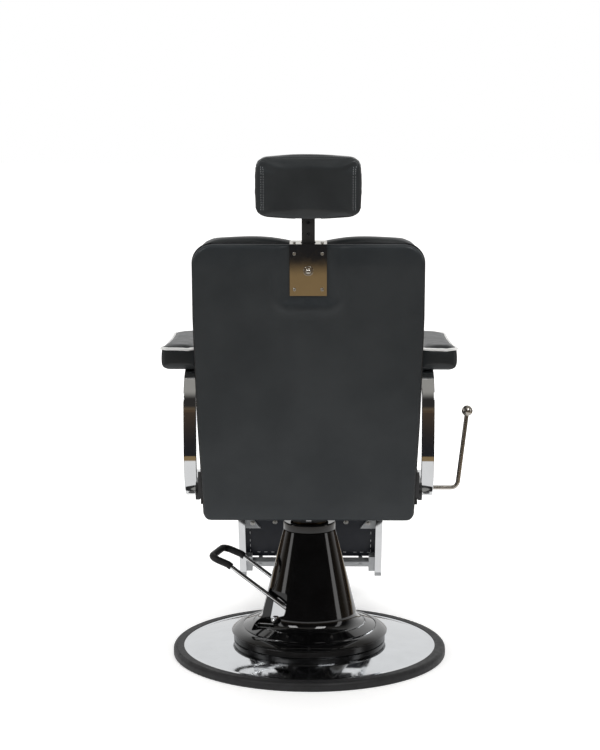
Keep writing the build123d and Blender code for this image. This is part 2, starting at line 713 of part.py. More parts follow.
def plug_places():
    """Centre of each plug's outer face, on the lower bend, with its outward direction."""
    turn = math.radians(PLUG_ANGLE)
    y = BAND_REAR_Y - BAND_FOOT_R + BAND_FOOT_R * math.cos(turn)
    z = BAND_BOTTOM_Z + BAND_FOOT_R - BAND_FOOT_R * math.sin(turn)
    x = (BAND_X[0] + BAND_X[1]) / 2
    return [Pos(side * x, y, z) * Rot(X=-90 - PLUG_ANGLE) for side in SIDES]


def armrest_screw_places():
    x = (BAND_X[0] + BAND_X[1]) / 2
    return [(side * x, y) for side in SIDES for y in (-65.0, 70.0)]


def make_arm_bands():
    bands = []
    for side, plug in zip(SIDES, plug_places()):
        band = prism_x(band_face(), side * BAND_X[0], side * BAND_X[1])
        band = fillet(band.edges().filter_by(Axis.X, reverse=True), 1.5)
        band -= plug * Pos(0, 0, -3) * Cylinder(PLUG_R, 2 * PLUG_DEPTH + 6)
        for y, z in band_screw_places():
            band -= rod_x(SCREW_R + FIT, side * (BAND_X[0] - 1), side * (BAND_X[0] + 14), y, z)
        for x, y in armrest_screw_places():
            band -= rod_z(SCREW_R + FIT, BAND_TOP_Z - BAND_T - 1, BAND_TOP_Z + 1, x, y)
        bands.append(band)
    return group(*bands)


def make_arm_plugs():
    plugs = []
    for place in plug_places():
        plug = Pos(0, 0, -PLUG_DEPTH) * Cylinder(PLUG_R - FIT, PLUG_DEPTH - 0.8, align=(Align.CENTER, Align.CENTER, Align.MIN))
        plugs.append(place * fillet(plug.edges().group_by(Axis.Z)[-1], 1.5))
    return group(*plugs)


def arm_board_box(side, grow):
    x = (side * (ARM_BOARD_X[0] - grow), side * (ARM_BOARD_X[1] + grow))
    y = (ARM_BOARD_Y[0] - grow, ARM_BOARD_Y[1] + grow)
    return block(x, y, (BAND_TOP_Z, BAND_TOP_Z + ARM_BOARD_T + grow))


def make_armrest_boards():
    boards = []
    for side in SIDES:
        board = arm_board_box(side, 0)
        for x, y in armrest_screw_places():
            board -= rod_z(SCREW_R + FIT, BAND_TOP_Z - 1, BAND_TOP_Z + 7, x, y)
        boards.append(board)
    return group(*boards)


def make_armrest(side):
    inner, outer = ARM_X
    front, rear = ARM_Y
    plan = outline([(inner, front), (outer - ARM_TAPER, front), (outer, rear), (inner, rear)])
    plan = fillet(plan.vertices().group_by(Axis.Y)[0].sort_by(Axis.X)[-1], ARM_NOSE_R)
    plan = fillet(plan.vertices().group_by(Axis.Y)[0].sort_by(Axis.X)[0], 12)
    plan = fillet(plan.vertices().group_by(Axis.Y)[-1], 14)
    pad = Pos(0, 0, ARM_TOP_Z - ARM_H) * extrude(plan, ARM_H)
    pad = fillet(pad.edges().group_by(Axis.Z)[-1], 6)
    pad = fillet(pad.edges().group_by(Axis.Z)[0], 10)
    if side < 0:
        pad = mirror(pad, Plane.YZ)
    return pad - arm_board_box(side, SOFT_GAP)


# ---------------------------------------------------------------- seat
def make_seat_board():
    board = block((-SEAT_HALF + 8, SEAT_HALF - 8), (SEAT_Y[0] + 14, SEAT_Y[1] - 12), (BOARD_Z, BOARD_Z + SEAT_BOARD_T))
    return board - block((-CAM_HALF - 4, CAM_HALF + 4), (RELEASE_Y - 14, RELEASE_Y + 20), (BOARD_Z - 1, BOARD_Z + 7))


def make_seat_cushion():
    pad = block((-SEAT_HALF, SEAT_HALF), SEAT_Y, (BOARD_Z + SEAT_BOARD_T + SOFT_GAP, SEAT_TOP_Z))
    pad = fillet(pad.edges().filter_by(Axis.Z), 20)
    return fillet(pad.edges().group_by(Axis.Z)[-1], 16)


def make_frame_screws():
    """Bolts of the swivel plate, side plates, arm bands and armrests, and the gas spring's clevis pin."""
    pieces = []
    for x, y in frame_bolt_places():
        head = Pos(x, y, SWIVEL_PLATE_Z - 6.5) * extrude(RegularPolygon(9, 6), 6.5)
        pieces.append(head + rod_z(5, SWIVEL_PLATE_Z, FRAME_Z + 14, x, y))
    for side in SIDES:
        outer = side * (SIDE_IN + SIDE_T)
        for y, z in side_screw_places():
            pieces.append(rod_x(5.5, outer, outer + side * 3, y, z) + rod_x(SCREW_R, outer - side * SIDE_T, outer, y, z))
        for y, z in band_screw_places():
            pieces.append(rod_x(5.5, side * SIDE_IN, side * (SIDE_IN - 3), y, z) + rod_x(SCREW_R, side * SIDE_IN, side * (BAND_X[0] + 12), y, z))
    for x, y in armrest_screw_places():
        under = BAND_TOP_Z - BAND_T
        pieces.append(rod_z(5.5, under - 3, under, x, y) + rod_z(SCREW_R, under, BAND_TOP_Z + 6, x, y))
    pin_end = GAS_EYE_HALF + 9
    pieces.append(rod_x(GAS_PIN_R, -pin_end, pin_end, GAS_FRONT_Y, gas_axis_z()))
    return group(*pieces)


# ---------------------------------------------------------------- gas spring and recline lever
def cam_nose():
    """(y, z) of the cam's nose at rest."""
    rest = math.radians(CAM_REST)
    return RELEASE_Y + CAM_ARM * math.cos(rest), RELEASE_Z + CAM_ARM * math.sin(rest)


def make_gas_spring_cylinder():
    z = gas_axis_z()
    low, high = GAS_BODY_Y
    button_y = cam_nose()[0]
    body = rod_y(GAS_R, low, high, 0, z) + rod_z(7.5, z, CROSS_Z + 4, 0, button_y)
    body += block((-GAS_EYE_HALF, GAS_EYE_HALF), (GAS_FRONT_Y, low + 2), (z - 5, z + 5))
    body += rod_x(9, -GAS_EYE_HALF, GAS_EYE_HALF, GAS_FRONT_Y, z)
    body -= rod_y(GAS_R - GAS_WALL, low + 6, high - 28, 0, z)
    body -= rod_y(GAS_ROD_R + FIT, high - 30, high + 1, 0, z)
    body -= rod_x(GAS_PIN_R + FIT, -10, 10, GAS_FRONT_Y, z)
    return body - rod_z(BUTTON_R + FIT, z + 5, CROSS_Z + 5, 0, button_y)


def make_gas_spring_rod():
    z = gas_axis_z()
    eye_y = crank_pin_y()
    slot_l, slot_h = GAS_SLOT
    rod = rod_y(GAS_ROD_R, GAS_BODY_Y[0] + 80, eye_y - 8, 0, z)
    rod += rod_y(GAS_R - GAS_WALL - FIT, GAS_BODY_Y[0] + 80, GAS_BODY_Y[0] + 90, 0, z)
    middle = z - GAS_SLOT_DROP
    reach = (slot_l - slot_h) / 2
    rod += prism_x(hull_of((9.5, eye_y, middle - reach), (9.5, eye_y, middle + reach)), -GAS_EYE_HALF, GAS_EYE_HALF)
    slot = hull_of((slot_h / 2, eye_y, middle - reach), (slot_h / 2, eye_y, middle + reach))
    return rod - prism_x(slot, -10, 10)


CAM_HALF = 5.0


def make_release_button():
    button_y, nose_z = cam_nose()
    return rod_z(BUTTON_R, gas_axis_z() + 11.2, nose_z - CAM_NOSE_R - 0.15, 0, button_y)


def make_release_cam():
    nose_y, nose_z = cam_nose()
    cam = finger((RELEASE_ROD_R + 1.6, RELEASE_Y, RELEASE_Z), (CAM_NOSE_R, nose_y, nose_z), 3)
    cam = prism_x(cam, -CAM_HALF, CAM_HALF)
    return cam - rod_x(RELEASE_ROD_R + FIT, -CAM_HALF - 1, CAM_HALF + 1, RELEASE_Y, RELEASE_Z)


def make_recline_lever():
    ball_x, ball_z = RELEASE_BALL
    path = FilletPolyline((CAM_HALF + 4, RELEASE_Y, RELEASE_Z), (RELEASE_BEND_X, RELEASE_Y, RELEASE_Z), (ball_x, RELEASE_Y, ball_z), radius=16)
    return swept_rod(path, RELEASE_ROD_R)


def make_lever_ball():
    ball_x, ball_z = RELEASE_BALL
    return Pos(ball_x, RELEASE_Y, ball_z) * Sphere(BALL_R) - swept_rod(
        Line((RELEASE_BEND_X, RELEASE_Y, RELEASE_Z), (ball_x, RELEASE_Y, ball_z)), RELEASE_ROD_R)


# ---------------------------------------------------------------- back
def back_outline(inset, foot=0.0, top_r=BACK_TOP_R):
    """The back's front view in (X, Z), drawn in by an inset, starting at a height."""
    right = [(half - inset, min(max(h, inset), BACK_H - inset)) for h, half in BACK_HALF]
    left = [(-x, z) for x, z in reversed(right)]
    face = outline(right + left)
    face = fillet(face.vertices().group_by(Axis.Y)[-1], top_r - inset)
    face = fillet(face.vertices().group_by(Axis.Y)[0], max(BACK_FOOT_R - inset, 4))
    if foot > 0:
        face -= Pos(0, foot / 2 - 50) * Rectangle(2 * THROUGH, foot + 100)
    return face


def recline_pivot_in_back():
    """(y, z) of the recline pivot in the back's own frame."""
    lean = math.radians(BACK_LEAN)
    dy = RECLINE_PIVOT[0] - BACK_FOOT[0]
    dz = RECLINE_PIVOT[1] - BACK_FOOT[1]
    return dy * math.cos(lean) - dz * math.sin(lean), dy * math.sin(lean) + dz * math.cos(lean)


def make_back_panel():
    panel = prism_y(back_outline(0, top_r=PANEL_TOP_R), -PANEL_T, 0)
    panel = fillet(panel.faces().sort_by(Axis.Y)[-1].edges(), 5)
    panel -= block((-GUIDE_HALF - 0.5, GUIDE_HALF + 0.5), (-PANEL_T - 1, 1), (BRACKET_Z[0] + 2, BACK_H + 5))
    pocket_z = (POST_FOOT - POST_HOLE_PITCH - 8, BRACKET_Z[0] + 3)
    panel -= block((-POST_W / 2 - 2, POST_W / 2 + 2), (-PANEL_T - 1, -POST_FACE + 0.5), pocket_z)
    for x, z in plate_screw_places():
        panel -= rod_y(2 + FIT, -12.5, 1, x, z)
    for x in (-PLATE_SCREW_DX, PLATE_SCREW_DX):
        panel -= rod_z(2 + FIT, BACK_H - 11, BACK_H + 1, x, -7)
    return lean_back(panel)


def make_back_hinge():
    """Steel plate across the back's foot, with an ear forward to the pivot on each side."""
    rear = -(PANEL_T + SOFT_GAP)
    front = rear - HINGE_PLATE_T
    y, z = recline_pivot_in_back()
    low, high = HINGE_PLATE_Z
    plate = block((-HINGE_EAR_X[1], HINGE_EAR_X[1]), (front, rear), (low, high))
    ear = hull_of((15, y, z), (3, rear - 3, low + 3), (3, rear - 3, high - 3))
    for side in SIDES:
        plate += prism_x(ear, side * HINGE_EAR_X[0], side * HINGE_EAR_X[1])
    plate -= rod_x(RECLINE_SHAFT_R + FIT, -THROUGH, THROUGH, y, z)
    return lean_back(plate)


def make_back_board():
    rear = -(PANEL_T + HINGE_PLATE_T + 2 * SOFT_GAP)
    board = prism_y(back_outline(BACK_BOARD_INSET, CUSHION_FOOT + 4), rear - BACK_BOARD_T, rear)
    return lean_back(board)


def make_back_cushion():
    rear = -(PANEL_T + HINGE_PLATE_T + BACK_BOARD_T + 3 * SOFT_GAP)
    pad = prism_y(back_outline(0, CUSHION_FOOT), -BACK_T, rear)
    pad = fillet(pad.faces().sort_by(Axis.Y)[0].edges(), 18)
    return lean_back(pad)


def crank_face(pin_r):
    """A crank arm in (Y, Z): hub on the recline shaft, boss on the crank pin."""
    y, z = RECLINE_PIVOT
    return hull_of((13, y, z), (pin_r + 4, crank_pin_y(), gas_axis_z()))


def make_recline_shaft():
    y, z = RECLINE_PIVOT
    end = SIDE_IN + SIDE_T - 0.2
    shaft = rod_x(RECLINE_SHAFT_R, -end, end, y, z)
    pin_y, pin_z = crank_pin_y(), gas_axis_z()
    gas_in = GAS_EYE_HALF + 0.7
    for side in SIDES:
        shaft += prism_x(crank_face(GAS_PIN_R), side * gas_in, side * (gas_in + 6))
        shaft += prism_x(crank_face(CRANK_PIN_R), side * (LINK_X[1] + 1), side * (LINK_X[1] + 9))
        shaft += rod_x(CRANK_PIN_R, side * (LINK_X[0] - 3), side * (LINK_X[1] + 9), pin_y, pin_z)
    return shaft + rod_x(GAS_PIN_R, -gas_in - 6, gas_in + 6, pin_y, pin_z)


def link_front():
    """(y, z) of the links' front pins: the leg cranks are the back cranks moved to the leg pivot."""
    return (crank_pin_y() - RECLINE_PIVOT[0] + LEG_PIVOT[0], gas_axis_z() - RECLINE_PIVOT[1] + LEG_PIVOT[1])


def make_link_bars():
    rear = (crank_pin_y(), gas_axis_z())
    front = link_front()
    bars = []
    for side in SIDES:
        bar = prism_x(hull_of((LINK_H / 2, *rear), (LINK_H / 2, *front)), side * LINK_X[0], side * LINK_X[1])
        bar -= rod_x(CRANK_PIN_R + FIT, -THROUGH, THROUGH, *rear)
        bars.append(bar - rod_x(CRANK_PIN_R + SOFT_GAP, -THROUGH, THROUGH, *front))
    return group(*bars)


# ---------------------------------------------------------------- headrest mounting
GUIDE_HALF = POST_W / 2 + SOFT_GAP + GUIDE_WALL


def plate_screw_places():
    return [(sx * PLATE_SCREW_DX, PLATE_MID_Z + sz * PLATE_SCREW_DZ) for sx in SIDES for sz in SIDES]


def make_headrest_bracket():
    top = BRACKET_Z[1]
    plate = block((-BRACKET_HALF, BRACKET_HALF), (0, BRACKET_T), (BRACKET_Z[0], top + BRACKET_T))
    flange_y = (-(PANEL_T + HINGE_PLATE_T + 8), BRACKET_T)
    plate += block((-BRACKET_HALF, BRACKET_HALF), flange_y, (top, top + BRACKET_T))
    slot_y = (-POST_FACE - POST_T - 2, -POST_FACE + 2)
    plate -= block((-POST_W / 2 - 1.5, POST_W / 2 + 1.5), slot_y, (top - 1, top + BRACKET_T + 1))
    plate -= rod_y(5 + FIT, -1, BRACKET_T + 1, 0, LOCK_Z)
    for x, z in plate_screw_places():
        plate -= rod_y(2 + FIT, -1, BRACKET_T + 1, x, z)
    for x in (-PLATE_SCREW_DX, PLATE_SCREW_DX):
        plate -= rod_z(2 + FIT, top - 1, top + BRACKET_T + 1, x, -7)
    return lean_back(plate)


def make_bracket_screws():
    pieces = []
    for x, z in plate_screw_places():
        head = fillet(rod_y(3.4, BRACKET_T, BRACKET_T + 2, x, z).edges().group_by(Axis.Y)[-1], 0.9)
        pieces.append(lean_back(head + rod_y(2, -12, BRACKET_T, x, z)))
    top = BRACKET_Z[1] + BRACKET_T
    for x in (-PLATE_SCREW_DX, PLATE_SCREW_DX):
        head = fillet(rod_z(3.4, top, top + 2.5, x, -7).edges().group_by(Axis.Z)[-1], 0.9)
        pieces.append(lean_back(head + rod_z(2, BACK_H - 10, top, x, -7)))
    return group(*pieces)


def make_lock_screw():
    screw = rod_y(5, -POST_FACE + SOFT_GAP, BRACKET_T, 0, LOCK_Z)
    screw += fillet(rod_y(10.5, BRACKET_T, BRACKET_T + 2.5, 0, LOCK_Z).edges().group_by(Axis.Y)[-1], 0.8)
    dome = Pos(0, BRACKET_T + 2.5, LOCK_Z) * Sphere(6.5)
    screw += dome & block((-8, 8), (BRACKET_T + 1, BRACKET_T + 12), (LOCK_Z - 8, LOCK_Z + 8))
    return lean_back(screw)


def make_post_guide():
    front = -(POST_FACE + POST_T + SOFT_GAP)
    low, high = BRACKET_Z[0] + 3, BACK_H - 2
    channel = block((-GUIDE_HALF, GUIDE_HALF), (front - 4, 0), (low, high))
    channel -= block((-POST_W / 2 - SOFT_GAP, POST_W / 2 + SOFT_GAP), (front, 1), (low - 1, high + 1))
    return lean_back(channel)


def make_headrest_post():
    mid = -(POST_FACE + POST_T / 2)
    bar = block((-POST_W / 2, POST_W / 2), (mid - POST_T / 2, mid + POST_T / 2), (POST_FOOT, HEAD_PIVOT_H))
    bar = fillet(bar.edges().filter_by(Axis.Z), 1)
    bar += rod_x(7, -POST_W / 2, POST_W / 2, mid, HEAD_PIVOT_H)
    bar -= rod_x(4 + FIT, -POST_W, POST_W, mid, HEAD_PIVOT_H)
    hole_z = LOCK_Z - 2 * POST_HOLE_PITCH
    while hole_z < HEAD_PIVOT_H - 12:
        bar -= Pos(0, -POST_FACE, hole_z) * Rot(X=90) * Cone(POST_HOLE_R, 0.5, 5, align=(Align.CENTER, Align.CENTER, Align.MIN))
        hole_z += POST_HOLE_PITCH
    return lean_back(bar)


# ---------------------------------------------------------------- headrest, about its tilt pivot
HEAD_BOARD_Z = 16.3
HINGE_HALF = POST_W / 2 + SOFT_GAP + EAR_T
NOTCH_HALF = HINGE_HALF + 4


def make_headrest_hinge():
    ear = outline([(-8, 0), (8, 0), (8, HEAD_BOARD_Z - SOFT_GAP), (-8, HEAD_BOARD_Z - SOFT_GAP)]) + Circle(8)
    clevis = block((-HINGE_HALF, HINGE_HALF), (-8, 8), (HEAD_BOARD_Z - 4.5, HEAD_BOARD_Z - SOFT_GAP))
    for side in SIDES:
        clevis += prism_x(ear, side * (HINGE_HALF - EAR_T), side * HINGE_HALF)
    return head_place(clevis + rod_x(4, -HINGE_HALF - 1.5, HINGE_HALF + 1.5, 0, 0))


def make_headrest_board():
    board = block((-HEAD_HALF + 12, HEAD_HALF - 12), (-HEAD_BOARD_T / 2, HEAD_BOARD_T / 2), (HEAD_BOARD_Z, HEAD_H - HEAD_DROP - 10))
    return head_place(fillet(board.edges().filter_by(Axis.Y), 14))


def head_pad(y0, y1, notch_depth, edge_r, outer_face):
    pad = block((-HEAD_HALF, HEAD_HALF), (y0, y1), (-HEAD_DROP, HEAD_H - HEAD_DROP))
    pad = fillet(pad.edges().filter_by(Axis.Y), 22)
    pad = fillet(pad.faces().sort_by(Axis.Y)[outer_face].edges(), edge_r)
    return pad - block((-NOTCH_HALF, NOTCH_HALF), notch_depth, (-HEAD_DROP - 1, HEAD_BOARD_Z))


def make_headrest_pad():
    inner = -HEAD_BOARD_T / 2 - SOFT_GAP
    return head_place(head_pad(-HEAD_FRONT, inner, (inner - 9, inner + 1), 16, 0))


def make_headrest_back():
    inner = HEAD_BOARD_T / 2 + SOFT_GAP
    return head_place(head_pad(inner, HEAD_REAR, (inner - 1, inner + 6.5), 6, -1))


# ---------------------------------------------------------------- leg rest
def leg_crank_pin():
    """(y, z) of the leg's crank pin in the leg rest's own frame."""
    lean = math.radians(LEG_LEAN)
    dy = link_front()[0] - LEG_PIVOT[0]
    dz = link_front()[1] - LEG_PIVOT[1]
    return dy * math.cos(lean) - dz * math.sin(lean), dy * math.sin(lean) + dz * math.cos(lean)


def make_leg_arms():
    half = LEG_BAR_D / 2
    bar = outline([(-half, -LEG_LENGTH), (half - 6, -LEG_LENGTH), (half, -40), (half, 0), (-half, 0)])
    bar += Circle(half + 1)
    pin = leg_crank_pin()
    crank = hull_of((half - 2, 0, 0), (CRANK_PIN_R + 4, *pin), (4, 4, -60))
    arms = []
    for side in SIDES:
        arm = prism_x(bar, side * LEG_BAR_X[0], side * LEG_BAR_X[1])
        arm += prism_x(crank, side * LEG_BAR_X[0], side * (LEG_BAR_X[0] + 8))
        arm += rod_x(CRANK_PIN_R, side * (LINK_X[0] - 3), side * (LEG_BAR_X[0] + 8), *pin)
        arms.append(hang_leg(arm - rod_x(LEG_SHAFT_R + FIT, -THROUGH, THROUGH, 0, 0)))
    return group(*arms)


def make_leg_caps():
    half = LEG_BAR_D / 2
    caps = []
    for side in SIDES:
        cap = block((side * LEG_BAR_X[0], side * LEG_BAR_X[1]), (-half, half - 6), (-LEG_LENGTH - LEG_CAP_H, -LEG_LENGTH))
        caps.append(hang_leg(fillet(cap.edges().group_by(Axis.Z)[0], 3)))
    return group(*caps)


def make_calf_board():
    half, top, low = CALF_BOARD
    front = -LEG_BAR_D / 2 - CALF_BOARD_T
    return hang_leg(block((-half, half), (front, -LEG_BAR_D / 2), (low, top)))


def make_calf_pad():
    front = -LEG_BAR_D / 2 - CALF_BOARD_T - SOFT_GAP
    pad = block((-CALF_PAD_HALF, CALF_PAD_HALF), (front - CALF_PAD_T, front), CALF_PAD_Z)
    pad = fillet(pad.edges().filter_by(Axis.Y), 20)
    return hang_leg(fillet(pad.faces().sort_by(Axis.Y)[0].edges(), 14))


def make_leg_brackets():
    """Gusset plates that tie the calf board to the bars."""
    rear = -LEG_BAR_D / 2
    gusset = [(LEG_BAR_X[0], -195), (LEG_BAR_X[0], -229), (128, -229), (150, -195)]
    plates = []
    for side in SIDES:
        face = outline([(side * x, z) for x, z in gusset])
        plates.append(hang_leg(prism_y(face, rear, rear + 4)))
    return group(*plates)


def make_leg_bolts():
    rear = -LEG_BAR_D / 2
    bolts = []
    for x, lift in ((91.0, 0), (-91.0, 0), (148.0, 4), (-148.0, 4)):
        z = -210.0
        bolt = rod_y(6.5, rear + lift, rear + lift + 1.5, x, z) + rod_y(4, rear + lift, rear + lift + 4, x, z)
        bolts.append(hang_leg(bolt))
    return group(*bolts)


def make_foot_crossbar():
    """Bar between the leg bars, with two arms forward to the footplate's pin."""
    bar = block((-FOOT_BAR_HALF, FOOT_BAR_HALF), FOOT_BAR_Y, FOOT_BAR_Z)
    bar = fillet(bar.edges().filter_by(Axis.X), 2)
    y, z = FOOT_PIVOT
    for side in SIDES:
        ear = block((side * FOOT_BAR_HALF, side * LEG_BAR_X[0]), (-10, 6), (FOOT_BAR_Z[0] + 17, FOOT_BAR_Z[1] - 15))
        bar += ear
        arm = hull_of((8, y, z), (8, FOOT_BAR_Y[0] + 12, z))
        bar += prism_x(arm, side * (FOOT_BAR_HALF - 26), side * (FOOT_BAR_HALF - 16))
    return hang_leg(bar - rod_x(FOOT_PIN_R + FIT, -FOOT_BAR_HALF, FOOT_BAR_HALF, y, z))


def foot_place(solid):
    """Place a solid drawn about the footplate's pin: plate along -y."""
    return hang_leg(Pos(0, *FOOT_PIVOT) * Rot(X=FOOT_REST) * solid)


def make_footplate():
    inner = FOOT_BAR_HALF - 15
    plate = block((-FOOT_PLATE_HALF, FOOT_PLATE_HALF), (-FOOT_PLATE_L, -14), (-5, -5 + FOOT_PLATE_T))
    plate = fillet(plate.edges().filter_by(Axis.Z).group_by(Axis.Y)[0], 30)
    plate += block((-FOOT_BAR_HALF + 29, FOOT_BAR_HALF - 29), (-16, 0), (-5, 5))
    plate += rod_x(8, -FOOT_BAR_HALF + 28, FOOT_BAR_HALF - 28, 0, 0)
    plate += rod_x(FOOT_PIN_R, -inner, inner, 0, 0)
    return foot_place(plate)


def make_footplate_mat():
    top = -5 + FOOT_PLATE_T
    low, high = -FOOT_PLATE_L + 12, -22
    mat = block((-FOOT_PLATE_HALF + 12, FOOT_PLATE_HALF - 12), (low, high), (top, top + 2))
    mat = fillet(mat.edges().filter_by(Axis.Z).group_by(Axis.Y)[0], 22)
    rib_y = low + 10
    while rib_y < high - 4:
        mat += block((-FOOT_PLATE_HALF + 36, FOOT_PLATE_HALF - 36), (rib_y, rib_y + 4), (top + 2, top + 3.5))
        rib_y += 9
    return foot_place(mat)


NODES = {
    "base_ring": make_base_ring,
    "base_plate": make_base_plate,
    "base_disc": make_base_disc,
    "skirt_ring": make_skirt_ring,
    "skirt": make_skirt,
    "pump_body": make_pump_body,
    "pump_bolts": make_pump_bolts,
    "pump_gland": make_pump_gland,
    "lever_frame": make_lever_frame,
    "lever_grip": make_lever_grip,
    "lever_shaft": make_lever_shaft,
    "lever_rocker": make_lever_rocker,
    "pump_plunger": make_pump_plunger,
    "plunger_spring": make_plunger_spring,
    "ram": make_ram,
    "swivel_collar": make_swivel_collar,
    "thrust_washer": make_thrust_washer,
    "seat_mount": make_seat_mount,
    "seat_frame": make_seat_frame,
    "frame_screws": make_frame_screws,
    "side_plates": make_side_plates,
    "recline_bushes": make_recline_bushes,
    "leg_shaft": make_leg_shaft,
    "arm_bands": make_arm_bands,
    "arm_plugs": make_arm_plugs,
    "armrest_boards": make_armrest_boards,
    "armrest_left": lambda: make_armrest(1),
    "armrest_right": lambda: make_armrest(-1),
    "seat_board": make_seat_board,
    "seat_cushion": make_seat_cushion,
    "gas_spring_cylinder": make_gas_spring_cylinder,
    "gas_spring_rod": make_gas_spring_rod,
    "release_button": make_release_button,
    "release_cam": make_release_cam,
    "recline_lever": make_recline_lever,
    "lever_ball": make_lever_ball,
    "recline_shaft": make_recline_shaft,
    "link_bars": make_link_bars,
    "back_hinge": make_back_hinge,
    "back_board": make_back_board,
    "back_cushion": make_back_cushion,
    "back_panel": make_back_panel,
    "headrest_bracket": make_headrest_bracket,
    "bracket_screws": make_bracket_screws,
    "lock_screw": make_lock_screw,
    "post_guide": make_post_guide,
    "headrest_post": make_headrest_post,
    "headrest_hinge": make_headrest_hinge,
    "headrest_board": make_headrest_board,
    "headrest_pad": make_headrest_pad,
    "headrest_back": make_headrest_back,
    "leg_arms": make_leg_arms,
    "leg_caps": make_leg_caps,
    "leg_brackets": make_leg_brackets,
    "leg_bolts": make_leg_bolts,
    "calf_board": make_calf_board,
    "calf_pad": make_calf_pad,
    "foot_crossbar": make_foot_crossbar,
    "footplate": make_footplate,
    "footplate_mat": make_footplate_mat,
}

os.makedirs("parts", exist_ok=True)
for node, make in NODES.items():
    export_step(make(), f"parts/{node}.step")
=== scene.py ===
import json
import math
import random

import bmesh
import bpy
import numpy as np
from mathutils import Matrix, Vector
from mathutils.bvhtree import BVHTree
from mathutils.geometry import convex_hull_2d


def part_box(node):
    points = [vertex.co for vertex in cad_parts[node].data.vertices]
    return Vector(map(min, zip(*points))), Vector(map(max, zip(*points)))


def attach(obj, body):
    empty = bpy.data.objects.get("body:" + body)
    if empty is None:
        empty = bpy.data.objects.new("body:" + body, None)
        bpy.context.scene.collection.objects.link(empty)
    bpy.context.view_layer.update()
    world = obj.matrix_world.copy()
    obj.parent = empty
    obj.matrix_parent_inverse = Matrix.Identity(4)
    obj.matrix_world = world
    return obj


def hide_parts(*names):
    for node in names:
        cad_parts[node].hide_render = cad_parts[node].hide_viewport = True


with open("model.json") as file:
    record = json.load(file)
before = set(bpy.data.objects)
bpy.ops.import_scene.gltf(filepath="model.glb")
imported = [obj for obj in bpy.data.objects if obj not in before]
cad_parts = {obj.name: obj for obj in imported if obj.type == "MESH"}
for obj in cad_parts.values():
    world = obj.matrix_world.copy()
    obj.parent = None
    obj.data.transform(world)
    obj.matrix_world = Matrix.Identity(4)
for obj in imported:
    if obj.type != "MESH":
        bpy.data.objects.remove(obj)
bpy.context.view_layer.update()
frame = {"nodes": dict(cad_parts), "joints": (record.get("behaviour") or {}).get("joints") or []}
NODES = frame["nodes"]
JOINTS = {joint["name"]: joint for joint in frame["joints"]}
random.seed(7)


# ---------------------------------------------------------------- material helpers
class Shader:
    """A node material built step by step. Colour and bump follow object coordinates, in metres."""

    def __init__(self, name, colour, rough, metallic=0.0, **sockets):
        self.material = bpy.data.materials.new(name)
        self.material.use_nodes = True
        self.tree = self.material.node_tree
        self.shader = self.tree.nodes["Principled BSDF"]
        self.shader.inputs["Base Color"].default_value = (*colour, 1)
        self.shader.inputs["Roughness"].default_value = rough
        self.shader.inputs["Metallic"].default_value = metallic
        for socket, value in sockets.items():
            self.shader.inputs[socket.replace("_", " ")].default_value = value
        self.coords = self.tree.nodes.new("ShaderNodeTexCoord").outputs["Object"]
        self.height = None

    def node(self, kind, **values):
        made = self.tree.nodes.new(kind)
        for name, value in values.items():
            made.inputs[name.replace("_", " ")].default_value = value
        return made

    def link(self, output, socket):
        self.tree.links.new(output, socket)

    def noise(self, scale, detail=4.0, roughness=0.5, stretch=None):
        texture = self.node("ShaderNodeTexNoise", Scale=scale, Detail=detail, Roughness=roughness)
        source = self.coords
        if stretch:
            mapping = self.node("ShaderNodeMapping")
            mapping.inputs["Scale"].default_value = stretch
            self.link(source, mapping.inputs["Vector"])
            source = mapping.outputs["Vector"]
        self.link(source, texture.inputs["Vector"])
        return texture.outputs["Fac"]

    def cells(self, scale, feature="F1"):
        texture = self.node("ShaderNodeTexVoronoi", Scale=scale)
        texture.feature = feature
        self.link(self.coords, texture.inputs["Vector"])
        return texture.outputs["Distance"]

    def spread(self, fac, low, high, out_low, out_high):
        ramp = self.node("ShaderNodeMapRange")
        ramp.inputs["From Min"].default_value = low
        ramp.inputs["From Max"].default_value = high
        ramp.inputs["To Min"].default_value = out_low
        ramp.inputs["To Max"].default_value = out_high
        self.link(fac, ramp.inputs["Value"])
        return ramp.outputs["Result"]

    def colours(self, fac, first, second):
        mix = self.tree.nodes.new("ShaderNodeMix")
        mix.data_type = "RGBA"
        self.link(fac, mix.inputs["Factor"])
        mix.inputs[6].default_value = (*first, 1)
        mix.inputs[7].default_value = (*second, 1)
        self.link(mix.outputs[2], self.shader.inputs["Base Color"])
        return self

    def roughness(self, fac, low, high):
        self.link(self.spread(fac, 0.3, 0.7, low, high), self.shader.inputs["Roughness"])
        return self

    def bump(self, fac, distance, strength=1.0):
        """Add a layer of relief, in metres."""
        bump = self.node("ShaderNodeBump", Strength=strength, Distance=distance)
        self.link(fac, bump.inputs["Height"])
        if self.height:
            self.link(self.height, bump.inputs["Normal"])
        self.height = bump.outputs["Normal"]
        self.link(self.height, self.shader.inputs["Normal"])
        return self


def vinyl(name, dark, light, rough=(0.36, 0.46)):
    """Fine-grain imitation leather."""
    s = Shader(name, dark, rough[0], Specular_IOR_Level=0.45)
    grain = s.cells(620)
    s.colours(s.spread(s.noise(9, 5), 0.35, 0.65, 0, 1), dark, light)
    s.roughness(s.noise(60, 3), *rough)
    s.bump(s.noise(14, 4), 0.0016, 0.35)
    s.bump(s.noise(900, 3, 0.6), 0.0001, 0.35)
    s.bump(grain, 0.00016, 0.55)
    return s.material


def chrome(name, tint=(0.86, 0.87, 0.88), rough=(0.035, 0.075)):
    s = Shader(name, tint, rough[0], 1.0)
    s.colours(s.spread(s.noise(25, 3), 0.3, 0.7, 0, 1), tint, tuple(c * 0.95 for c in tint))
    s.roughness(s.noise(70, 5), *rough)
    s.bump(s.noise(20, 2), 0.0002, 0.12)
    return s.material


